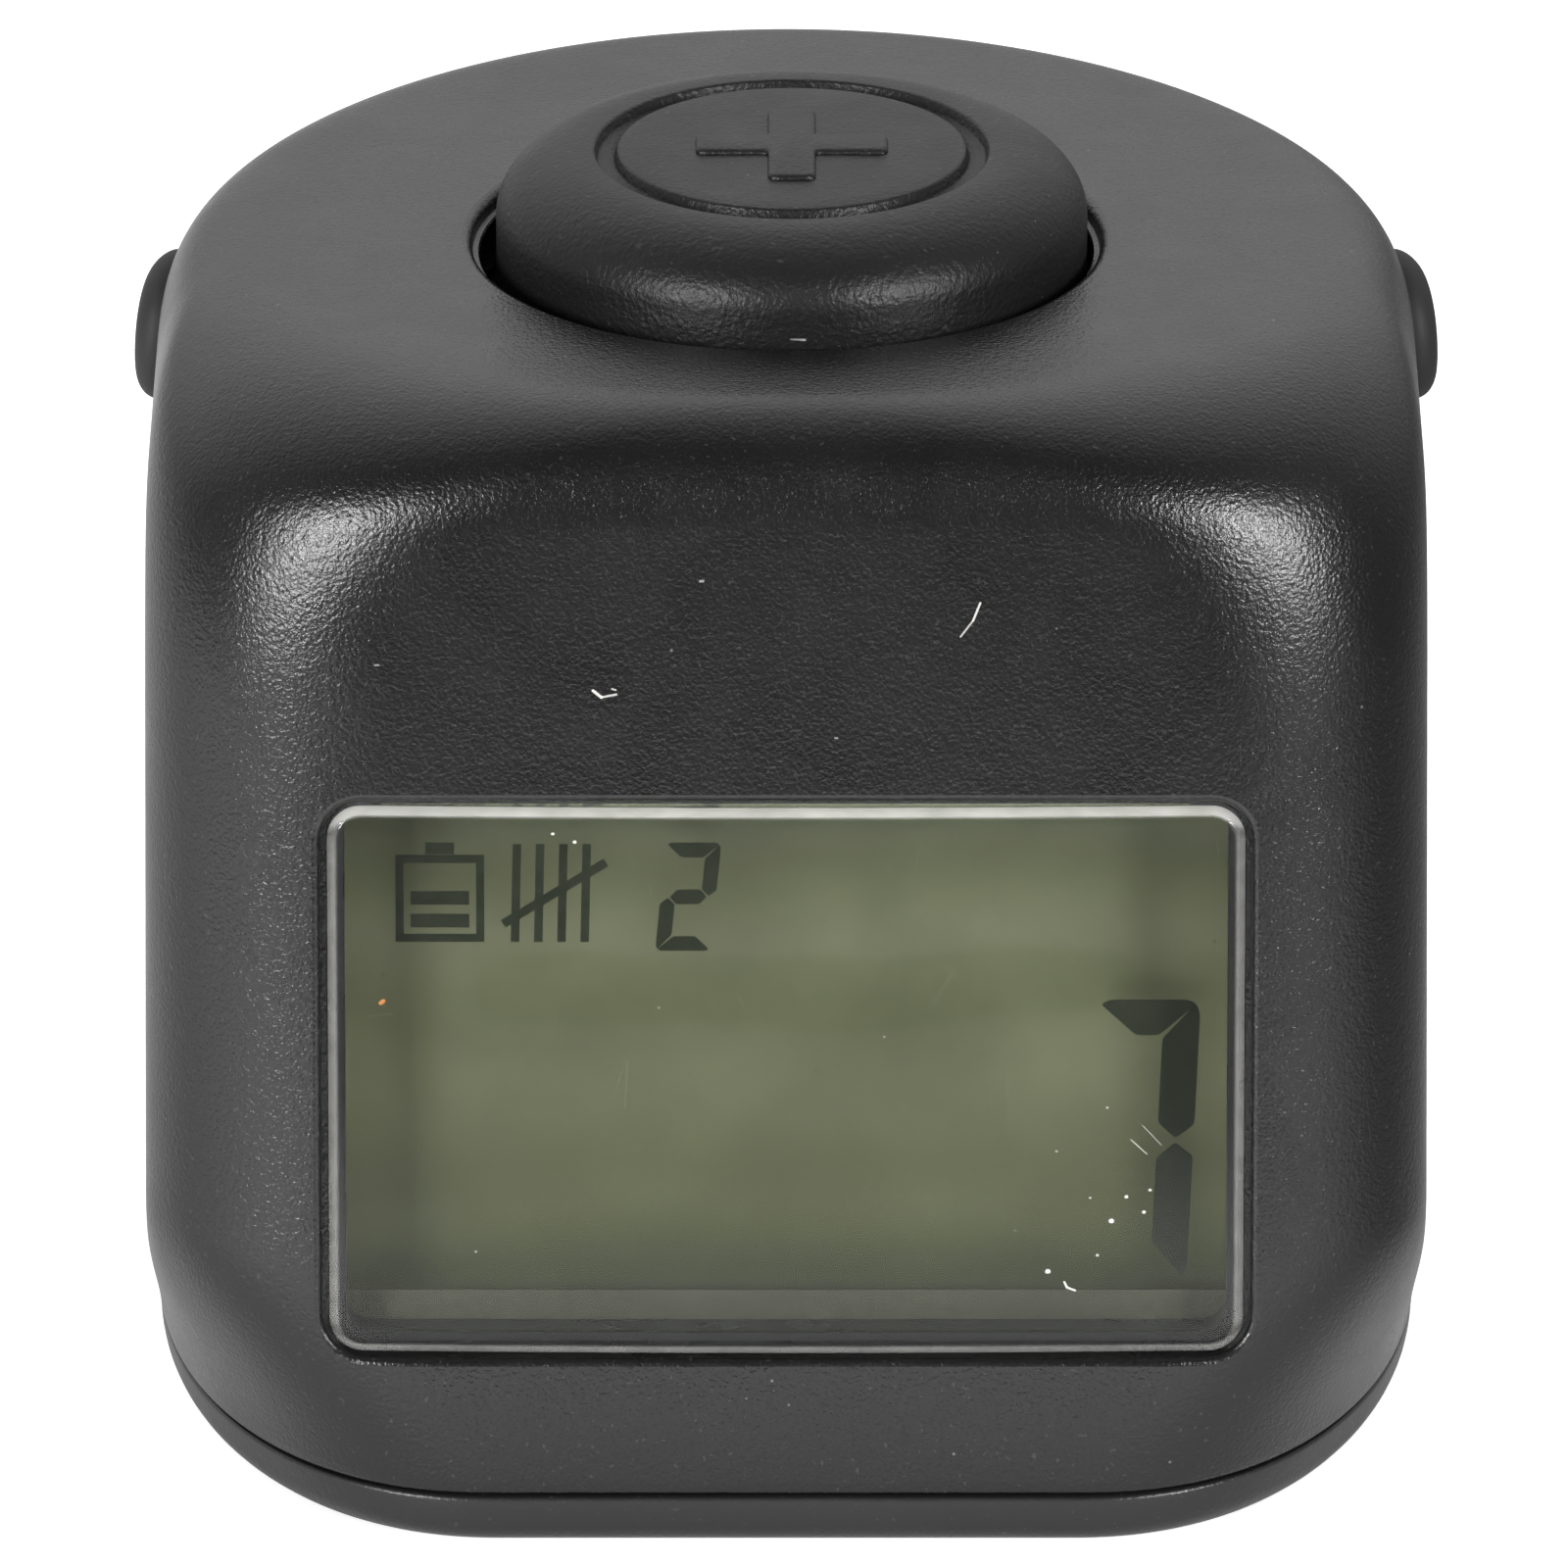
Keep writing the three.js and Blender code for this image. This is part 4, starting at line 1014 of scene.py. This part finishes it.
def door_outline(radius, tab):
    """Disc about the cell axis with a straight-sided tab that ends in a half round."""
    cross = math.asin(tab / radius)
    disc = np.linspace(math.pi / 2 + cross, math.pi / 2 - cross + 2 * math.pi, 65)
    points = [(radius * math.cos(a), CELL_Y + radius * math.sin(a)) for a in disc]
    return np.array(points + arc(0, DOOR_SCREW_Y, tab, 0, 180, 24))


def door_solid(radius, tab, low, high, edge=0.0, name="cutter"):
    """Door outline as a plate, with an optional rounded lower edge."""
    levels = [(low + edge * rise, edge * inset) for rise, inset in rolled(3)] if edge else [(low, 0)]
    levels.append((high, 0))
    return prism([at_height(door_outline(radius - inset, tab - inset), z)
                  for z, inset in levels], name)


def base_lip():
    angles = even_angles(z=4.0, inset=LIP_INSET, count=200)
    outer = loft([inner_outline(z, LIP_INSET, angles) for z in (1.2, 2.95)])
    inner = loft([inner_outline(z, LIP_INSET + LIP_WALL, angles) for z in (2.2, 3.1)])
    return cut(outer, inner)


def build_base():
    angles = even_angles(z=2.0, inset=0.0, count=420)
    top = PARTING_Z - SEAM / 2
    rings = [outline(BASE_FILLET * rise, BASE_FILLET * inset, angles) for rise, inset in rolled(8)]
    rings.append(outline(0.5 * (BASE_FILLET + top - BASE_EDGE), 0, angles))
    rings += [outline(top - BASE_EDGE * down, BASE_EDGE * inset, angles)
              for inset, down in rolled(4)]
    base = loft(rings, "base_skin")
    cell, screw = (0, CELL_Y, 0), (0, DOOR_SCREW_Y, 0)
    fuse(base, base_lip(),
         rod(7.3, 1.3, 8.8, cell, segments=96),              # wall round the cell
         rod(2.0, 1.3, 5.2, screw, segments=40))             # door screw post
    cut(base, door_solid(DOOR_R + DOOR_GAP, DOOR_TAB + DOOR_GAP, low=-1, high=1.2),
        rod(BORE_R, -1, 7.9, cell, segments=96),
        rod(0.65, 0.5, 4.6, screw, segments=24),             # door screw pilot
        box(5.75, 7.6, CELL_Y - 1.5, CELL_Y + 1.5, 2.4, 9),      # slot in the right of the wall
        box(-5.45, -4.6, CELL_Y - 1.3, CELL_Y + 1.3, 7.5, 9))    # slot in the roof, to the left
    for x, y in BOSSES:
        cut(base, screw_hole(x, y, head=1.9, deep=1.25, shank=1.05, end=4, segments=56),
            rod(BOSS_R + 0.25, 2.2, 4, (x, y, 0)))
    place(base, "base", "case", "base_plastic", "base_cover", sharp=32)


def build_door():
    door = door_solid(DOOR_R, DOOR_TAB, low=0.0, high=1.15, edge=0.15, name="battery_door_skin")
    fuse(door, rod(PLUG_R, 0.9, 1.5, (0, CELL_Y, 0), segments=96))
    groove = arc(GROOVE_HALF, GROOVE_Y, GROOVE_R, -90, 90, 12)
    groove += arc(-GROOVE_HALF, GROOVE_Y, GROOVE_R, 90, 270, 12)
    cut(door, screw_hole(0, DOOR_SCREW_Y, head=1.65, deep=0.6, shank=0.85, end=2, segments=48),
        loft([at_height(groove, z) for z in (-1.0, 0.45)]))
    place(door, "base", "battery_door", "base_plastic", "battery_door", sharp=32)


build_base()
build_door()


# ------------------------------------------------------------------ count button
CAP_EDGE_R = 2.5             # rounding of the cap: across and in height
CAP_EDGE_H = 1.85
CAP_WALL_IN = 6.6
CAP_CEILING = 30.25
FLANGE_R = 9.3
FLANGE_TOP = 28.55
FLANGE_LOW = 27.75
STEM_R = 2.2
STEM_LOW = 27.0
RING_OUT = 5.33              # groove in the crown
RING_IN = 4.72
RING_FLOOR = CAP_TOP - 0.3
PLUS_HALF = 2.6              # raised plus: half length, half width, height, corner radii
PLUS_HALF_WIDE = 0.65
PLUS_TOP = CAP_TOP + 0.2
PLUS_CORNER = 0.22
PLUS_INNER = 0.16


def crown(radius):
    return CAP_TOP + 0.08 * (1 - (radius / (CAP_R - CAP_EDGE_R)) ** 2)


def cap_profile():
    profile = [(0, STEM_LOW), (STEM_R - 0.15, STEM_LOW), (STEM_R, STEM_LOW + 0.15),
               (STEM_R + 0.2, CAP_CEILING), (CAP_WALL_IN, CAP_CEILING), (CAP_WALL_IN, FLANGE_LOW),
               (FLANGE_R - 0.1, FLANGE_LOW), (FLANGE_R, FLANGE_LOW + 0.1),
               (FLANGE_R, FLANGE_TOP - 0.1), (FLANGE_R - 0.1, FLANGE_TOP),
               (CAP_R + 0.1, FLANGE_TOP), (CAP_R, FLANGE_TOP + 0.1)]
    profile += [(CAP_R - CAP_EDGE_R * inward, CAP_TOP - CAP_EDGE_H * down)
                for inward, down in rolled(26)]
    # groove with softened shoulders
    profile += [(RING_OUT + 0.09, crown(RING_OUT + 0.09)), (RING_OUT + 0.03, crown(RING_OUT) - 0.015),
                (RING_OUT - 0.01, crown(RING_OUT) - 0.06), (RING_OUT - 0.06, RING_FLOOR + 0.05),
                (RING_OUT - 0.12, RING_FLOOR), (RING_IN + 0.12, RING_FLOOR),
                (RING_IN + 0.06, RING_FLOOR + 0.05), (RING_IN + 0.01, crown(RING_IN) - 0.06),
                (RING_IN - 0.03, crown(RING_IN) - 0.015), (RING_IN - 0.09, crown(RING_IN - 0.09))]
    return profile + [(radius, crown(radius)) for radius in (4.0, 3.2, 2.4, 1.6, 0.8, 0)]


def cross(shrink, z):
    """Plus outline: one arm's two outer corners and the next inner corner, four times."""
    end, side = PLUS_HALF - shrink, PLUS_HALF_WIDE - shrink
    inner = side + PLUS_INNER
    arm = arc(end - PLUS_CORNER, PLUS_CORNER - side, PLUS_CORNER, -90, 0, 4)
    arm += arc(end - PLUS_CORNER, side - PLUS_CORNER, PLUS_CORNER, 0, 90, 4)
    arm += arc(inner, inner, PLUS_INNER, 270, 180, 4)
    points = []
    for quarter in range(4):
        cos, sin = math.cos(quarter * math.pi / 2), math.sin(quarter * math.pi / 2)
        points += [(x * cos - y * sin, x * sin + y * cos, z) for x, y in arm]
    return np.array(points)


def build_button():
    cap = revolve(cap_profile(), segments=144, name="count_button_skin")
    levels = [(0.0, CAP_TOP - 0.5), (0.0, PLUS_TOP - 0.12), (0.018, PLUS_TOP - 0.06),
              (0.055, PLUS_TOP - 0.02), (0.12, PLUS_TOP)]
    fuse(cap, prism([cross(shrink, z) for shrink, z in levels]))
    cap.data.transform(Matrix.Translation((CAP_OFF_X * MM, 0, 0)))
    place(cap, "button", "count_button", "button_plastic", "count_button", sharp=40)


build_button()


# ------------------------------------------------------------------ side buttons
SIDE_PROUD = 0.72
SIDE_EDGE = 0.85             # rounded rim: across and in height
SIDE_EDGE_H = 0.62


def build_side(side, where):
    """Round rubber key whose end stands proud of the case's side and follows it."""
    angles = full_turn(80)

    def end_ring(radius, drop):
        return side_ring(radius, side_skin(radius, angles) + SIDE_PROUD - drop, angles)

    rings = [side_ring(SIDE_R - 0.08, SIDE_BACK, angles),
             side_ring(SIDE_R, SIDE_BACK + 0.08, angles)]
    rings += [end_ring(SIDE_R - SIDE_EDGE * inward, SIDE_EDGE_H * down)
              for inward, down in rolled(12)]
    rings += [end_ring(radius, 0.0) for radius in (1.0, 0.8, 0.6, 0.4, 0.2)]
    button = loft(rings, "side_button_%s_skin" % where)
    fuse(button, side_rod(SIDE_STEM_R, 13.4, SIDE_BACK + 0.3),
         box(12.9, 13.6, SIDE_Y - 2.2, SIDE_Y + 2.2, SIDE_Z - 1.7, SIDE_Z + 0.7))
    if side < 0:
        button.data.transform(Matrix.Scale(-1, 4, (1, 0, 0)))
        button.data.flip_normals()
    place(button, "rubber", where + "_button", "button_rubber", "side_button_" + where, sharp=40)


build_side(1, "right")
build_side(-1, "left")


# ------------------------------------------------------------------ display lens
LENS_BACK = 0.85             # depth of the flat back
LENS_ROLL = 0.42


def build_lens():
    def ring(grow, below=0.0, depth=None, scale=1.0):
        across, up = round_rect(LENS_HALF + 0.19, LENS_LOW - 0.17, LENS_HIGH, LENS_R,
                                per_corner=12, per_side=(40, 26), grow=grow).T
        across, up = across * scale, LENS_MID + (up - LENS_MID) * scale
        if depth is None:
            depth = lens_depth(across, up) + below
        return on_face(across, depth, up)

    edge = [ring(-LENS_ROLL * inward, LENS_ROLL * 0.8 * down) for inward, down in rolled(8)]
    front = [ring(-LENS_ROLL, scale=scale)
             for scale in (0.95, 0.88, 0.8, 0.7, 0.6, 0.5, 0.4, 0.3, 0.2, 0.1)]
    lens = loft([ring(0, depth=LENS_BACK)] + edge + front, "lens_skin")
    place(lens, "lens", "case", "lens_clear", "lcd_lens", sharp=50)
    lens.data.materials.append(LOOKS["lens_edge"])
    count = len(edge[0])
    edge_verts = range(count, count * (len(edge) + 1))
    for poly in lens.data.polygons:
        if all(i in edge_verts for i in poly.vertices):
            poly.material_index = 1


build_lens()


# ------------------------------------------------------------------ display border sheet with painted shade, and segments
SEGMENT_NEAR = 3.055         # depths of the segment plates
SEGMENT_FAR = 3.085
SEGMENT_DROP = 0.67          # segments and signs lie this much lower than drawn
DIGITS = [  # lit segments, left, right, low, high, bar, slant in degrees, gap
    ("abc", 7.95, 10.72, 7.42, 15.24, 0.98, 2.6, 0.10),
    ("abged", -3.50, -2.02, 16.61, 19.59, 0.40, 5.7, 0.05)]


def flat_plates(name, look, outlines, near, far, drop=0.0):
    """Thin closed plates from outlines in (across, up)."""
    verts, faces = [], []
    for points in outlines:
        points = np.asarray(points, float)
        x, y = points.T
        if np.sum(x * np.roll(y, -1) - np.roll(x, -1) * y) < 0:
            x, y = x[::-1], y[::-1]
        count, base = len(x), len(verts)
        for depth in (near, far):
            verts.extend(on_face(x, depth, y - drop))
        faces.append(tuple(base + i for i in range(count)))
        faces.append(tuple(base + count + i for i in reversed(range(count))))
        for i in range(count):
            j = (i + 1) % count
            faces.append((base + i, base + count + i, base + count + j, base + j))
    return place(make(name, verts, faces), look, "case", "frame_plastic")


def soften(points, radius):
    """Rounds an outline's corners with short quadratic curves."""
    points, out = np.asarray(points, float), []
    for i, corner in enumerate(points):
        back, ahead = points[i - 1] - corner, points[(i + 1) % len(points)] - corner
        back_length, ahead_length = np.linalg.norm(back), np.linalg.norm(ahead)
        reach = min(radius, 0.45 * back_length, 0.45 * ahead_length)
        start = corner + back / back_length * reach
        end = corner + ahead / ahead_length * reach
        for t in np.linspace(0, 1, 4):
            out.append((1 - t) ** 2 * start + 2 * t * (1 - t) * corner + t * t * end)
    return np.array(out)


def seven(lit, left, right, low, high, bar, slant, gap):
    """Seven-segment numeral; 'lit' lists segments a to g, the slant leans the top right."""
    wide, tall = right - left, high - low
    mid, half = tall / 2, bar * 0.5
    tip, nick, long_nick = bar * 0.25, bar * 0.12, bar * 0.3
    reach = half * 0.9 + gap * 0.6
    shapes = {
        "a": [(gap + tip, tall), (wide - gap - tip, tall), (wide - gap, tall - nick),
              (wide - bar - gap, tall - bar), (bar + gap, tall - bar), (gap, tall - nick)],
        "f": [(0, tall - long_nick - gap), (nick, tall - gap), (bar, tall - bar - gap),
              (bar, mid + reach), (half, mid + gap * 0.6), (0, mid + half * 0.7 + gap)],
        "e": [(0, mid - half * 0.7 - gap), (half, mid - gap * 0.6), (bar, mid - reach),
              (bar, bar + gap), (nick, gap), (0, long_nick + gap)],
        "g": [(half + gap, mid), (bar + gap * 0.6, mid + half), (wide - bar - gap * 0.6, mid + half),
              (wide - half - gap, mid), (wide - bar - gap * 0.6, mid - half),
              (bar + gap * 0.6, mid - half)],
    }
    shapes["d"] = [(x, tall - y) for x, y in shapes["a"]]
    shapes["b"] = [(wide - x, y) for x, y in shapes["f"]]
    shapes["c"] = [(wide - x, y) for x, y in shapes["e"]]
    outlines = []
    for letter in lit:
        points = soften(shapes[letter], bar * 0.10)
        points[:, 0] += left + points[:, 1] * math.tan(math.radians(slant))
        points[:, 1] += low
        outlines.append(points)
    return outlines


def rectangle(left, low, right, high):
    return [(left, low), (right, low), (right, high), (left, high)]


def cell_sign():
    """Cell outline of four bars, its cap and two charge bars."""
    left, low, right, high, bar = -10.42, 16.85, -8.05, 19.25, 0.22
    return [rectangle(left, low, right, low + bar), rectangle(left, high - bar, right, high),
            rectangle(left, low + bar, left + bar, high - bar),
            rectangle(right - bar, low + bar, right, high - bar),
            rectangle(-9.62, 19.27, -8.85, 19.59),
            rectangle(-10.02, 17.25, -8.45, 17.62), rectangle(-10.02, 17.88, -8.45, 18.25)]


def tally_sign():
    """Four leaning strokes with one struck across them."""
    pitch, width = 0.62, 0.24
    strokes = []
    for k in range(4):
        x = pitch * k
        strokes.append([(-7.35 + x, 16.85), (-7.12 + x, 16.85), (-7.06 + x, 19.55),
                        (-7.29 + x, 19.55)])
    start, end = np.array([-7.55, 17.35]), np.array([-4.80, 19.05])
    run = (end - start) / np.linalg.norm(end - start)
    aside = np.array([-run[1], run[0]]) * width / 2
    strokes.append([start + aside, end + aside, end - aside, start - aside])
    return strokes


def build_display():
    # dark border sheet over the bottom of the display: hides the strip, and its colour is painted
    # shade
    flat_plates("lcd_border_sheet_and_painted_shade", "print", [rectangle(-12.1, 4.62, 12.1, 6.70)],
                near=2.348, far=2.382)
    digits = [points for digit in DIGITS for points in seven(*digit)]
    segments = flat_plates("lcd_segments", "ink", digits, SEGMENT_NEAR, SEGMENT_FAR, SEGMENT_DROP)
    segments.visible_shadow = False
    signs = flat_plates("lcd_signs", "ink", cell_sign() + tally_sign(),
                        SEGMENT_NEAR + 0.002, SEGMENT_FAR - 0.002, SEGMENT_DROP)
    signs.visible_shadow = False


build_display()


# ------------------------------------------------------------------ spring
SPRING_LOW = 22.55
SPRING_HIGH = 29.95
SPRING_TURNS = 4.5
SPRING_R = 5.6
SPRING_WIRE = 0.25           # wire radius


def build_spring():
    """Coil of wire under the count button."""
    steps, rings = 360, []
    rise = (SPRING_HIGH - SPRING_LOW) / (2 * math.pi * SPRING_TURNS)
    for i in range(steps + 1):
        share = i / steps
        angle = 2 * math.pi * SPRING_TURNS * share
        x, y = SPRING_R * math.cos(angle), SPRING_R * math.sin(angle)
        centre = np.array([x + CAP_OFF_X, y, SPRING_LOW + (SPRING_HIGH - SPRING_LOW) * share])
        out = np.array([math.cos(angle), math.sin(angle), 0])
        along = np.array([-y, x, rise])
        along /= np.linalg.norm(along)
        up = np.cross(out, along)
        rings.append(np.array([centre + SPRING_WIRE * (math.cos(a) * out + math.sin(a) * up)
                               for a in full_turn(12)]))
    spring = loft(rings, "count_spring_skin")
    place(spring, "spring", "case", "spring_steel", "count_spring", sharp=50)
    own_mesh(spring)


build_spring()

# ------------------------------------------------------------------ carried-over CAD parts
CAD_FINISH = [  # look, edge bevel (0 for none), starts of the part names; the last takes the rest
    ("zinc", 0.06, ("case_screw_", "battery_door_screw", "pcb_screw", "display_screw")),
    ("cell", 0.04, ("button_cell", "crystal")),
    ("nickel", 0.04, ("contact_",)),
    ("wire_black", 0, ("wire_negative",)),
    ("wire_red", 0, ("wire_positive",)),
    ("switch", 0.12, ("count_switch_body", "side_switch_body")),
    ("plunger", 0.05, ("count_switch_plunger", "side_switch_plunger")),
    ("board", 0.05, ("main_pcb", "display_pcb")),
    ("adhesive", 0, ("lens_adhesive",)),
    ("polarizer", 0, ("lcd_polarizer",)),
    ("glass", 0, ("lcd_front_glass", "lcd_rear_glass")),
    ("reflector", 0, ("lcd_reflector",)),
    ("zebra", 0, ("zebra",)),
    ("epoxy", 0, ("controller_glob", "smd_resistor")),
    ("ceramic", 0.06, ("smd_capacitor",)),
    ("ribbon", 0, ("ribbon_cable",)),
    ("frame", 0.08, ("",)),
]


def finish_cad_parts():
    for name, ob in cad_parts.items():
        if ob.hide_render:
            continue
        look, edge = next((look, edge) for look, edge, starts in CAD_FINISH
                          if name.startswith(starts))
        paint(ob, look)
        if edge:
            bevel = ob.modifiers.new("edge", "BEVEL")
            bevel.width, bevel.segments = edge * MM, 2
            bevel.limit_method, bevel.angle_limit = "ANGLE", math.radians(35)
            bevel.harden_normals = True
        shade(ob, 35)


finish_cad_parts()

# ------------------------------------------------------------------ studio
FLOOR_FADE = (58.0, 100.0)   # the paper changes tone over this reach, to the front and right
FLOOR_RIGHT_SHADE = (10.0, 42.0)   # and over this one to the right
FLOOR_GLOW = 1.3             # light given off in front of the case
FLOOR_GLOW_START = (16.0, 42.0)


def floor_paper():
    """Pale paper with its own light; the camera sees it even, and sees through from below."""
    mat = Material("studio_floor_paper")
    uneven = mat.noise(scale=0.05, detail=4.0, rough=0.6).ramp()
    ahead = mat.axis(1) * -1.0
    reach = ahead.max(mat.axis(0))
    paper = mat.mix(uneven, (0.86, 0.86, 0.86), (0.90, 0.90, 0.90))
    shown = mat.mix(reach.ramp(over=FLOOR_FADE, soft=True), paper, to=(0.08, 0.08, 0.08))
    glow = (ahead.ramp(over=FLOOR_GLOW_START, soft=True)
            * reach.ramp(over=FLOOR_FADE, to=(1.0, 0.0), soft=True))
    # painted shade: the paper darkens to the right of the case
    right = mat.axis(0).ramp(over=FLOOR_RIGHT_SHADE, to=(0.0, 0.80), soft=True)
    shown = mat.mix(right, shown, to=(0.06, 0.06, 0.06))
    matt = mat.principled(Base_Color=shown, Roughness=0.9, Specular_IOR_Level=0.1)
    seen = mat.node("LightPath", {}, "Is Camera Ray")
    # brightness the camera sees: 0.60 near the case, paler outwards
    pale = reach.ramp(over=FLOOR_FADE, to=(0.60, 0.98), soft=True)
    pale = pale.max(mat.axis(0).ramp(over=FLOOR_RIGHT_SHADE, to=(0.60, 0.92), soft=True))
    behind = abs(mat.axis(1).max(mat.axis(0) * -1.0))
    pale = pale.max(behind.ramp(over=(120.0, 420.0), to=(0.60, 0.96)))
    given = 0.10 + glow * FLOOR_GLOW                         # light given to everything else
    strength = seen * pale + (1.0 - seen) * given
    light = mat.node("Emission", {"Color": (1, 1, 1), "Strength": strength})
    lit = mat.node("AddShader", {0: matt, 1: light})
    underside = mat.node("NewGeometry", {}, "Backfacing") * seen
    return mat.done(mat.mix_shader(underside, lit, mat.node("BsdfTransparent", {})))


def build_floor():
    bpy.ops.mesh.primitive_plane_add(size=4.0, location=(0, 0, -0.00005))
    floor = bpy.context.object
    floor.name = "studio_floor"
    floor.data.materials.append(floor_paper())


def build_world():
    """Soft light from behind and above; the camera sees plain white."""
    world = bpy.data.worlds.new("studio")
    scene.world = world
    graph = Graph(world)
    x = graph.node("SeparateXYZ", {0: graph.node("TexCoord", {}, "Generated")}, "X")
    behind = x.output("Y").ramp(over=(-0.50, 0.72), to=(0.06, 0.99), soft=True)
    overhead = x.output("Z").ramp(over=(0.62, 0.98), to=(1.0, 0.95), soft=True)
    low = x.output("Z").ramp(over=(0.20, 0.45), to=(0.68, 1.25), soft=True)
    side = x.ramp(over=(0.15, 0.85), to=(1.0, 0.62), soft=True)
    strength = behind * side * (low * overhead)
    light = graph.node("Background", {"Color": (1, 1, 1), "Strength": strength})
    white = graph.node("Background", {"Color": (1, 1, 1), "Strength": 1.05})
    seen = graph.node("LightPath", {}, "Is Camera Ray")
    graph.node("OutputWorld", {"Surface": graph.mix_shader(seen, light, white)})


def aim(ob, location, back):
    """Puts a lamp or camera at a place, looking against 'back'."""
    ob.location = location
    ob.rotation_mode = "QUATERNION"
    ob.rotation_quaternion = back.to_track_quat("Z", "Y")
    scene.collection.objects.link(ob)


def softbox(name, azimuth, elevation, width, height, power, distance=0.70):
    """Area lamp in metres and watts; azimuth 0 is -Y and 90 is +X, angles in degrees."""
    turn, rise = math.radians(azimuth), math.radians(elevation)
    back = Vector((math.sin(turn) * math.cos(rise), -math.cos(turn) * math.cos(rise),
                   math.sin(rise)))
    lamp = bpy.data.lights.new(name, "AREA")
    lamp.shape, lamp.size, lamp.size_y, lamp.energy = "RECTANGLE", width, height, power
    aim(bpy.data.objects.new(name, lamp), Vector((0, 0, 0.018)) + back * distance, back)


def build_camera(elevation, distance):
    rise = math.radians(elevation)
    view = bpy.data.cameras.new("view")
    view.sensor_width, view.lens = 36.0, 470.25
    view.shift_x, view.shift_y = -0.0014, -0.02606
    view.clip_start, view.clip_end = 0.01, 50
    camera = bpy.data.objects.new("view", view)
    back = Vector((0, -math.cos(rise), math.sin(rise)))
    aim(camera, Vector((0, Y_SHIFT * MM, 0.016)) + back * distance, back)
    scene.camera = camera


build_floor()
build_world()
softbox("box_left", azimuth=-38.0, elevation=17, width=0.18, height=0.22, power=5.1)
softbox("box_right", azimuth=43.0, elevation=20.5, width=0.15, height=0.20, power=4.9)
build_camera(elevation=22.151, distance=0.560)
scene.view_settings.view_transform = "Standard"
scene.view_settings.look = "None"
scene.cycles.transparent_max_bounces = 24
scene.cycles.max_bounces = 16
scene.cycles.transmission_bounces = 14

bpy.context.view_layer.update()
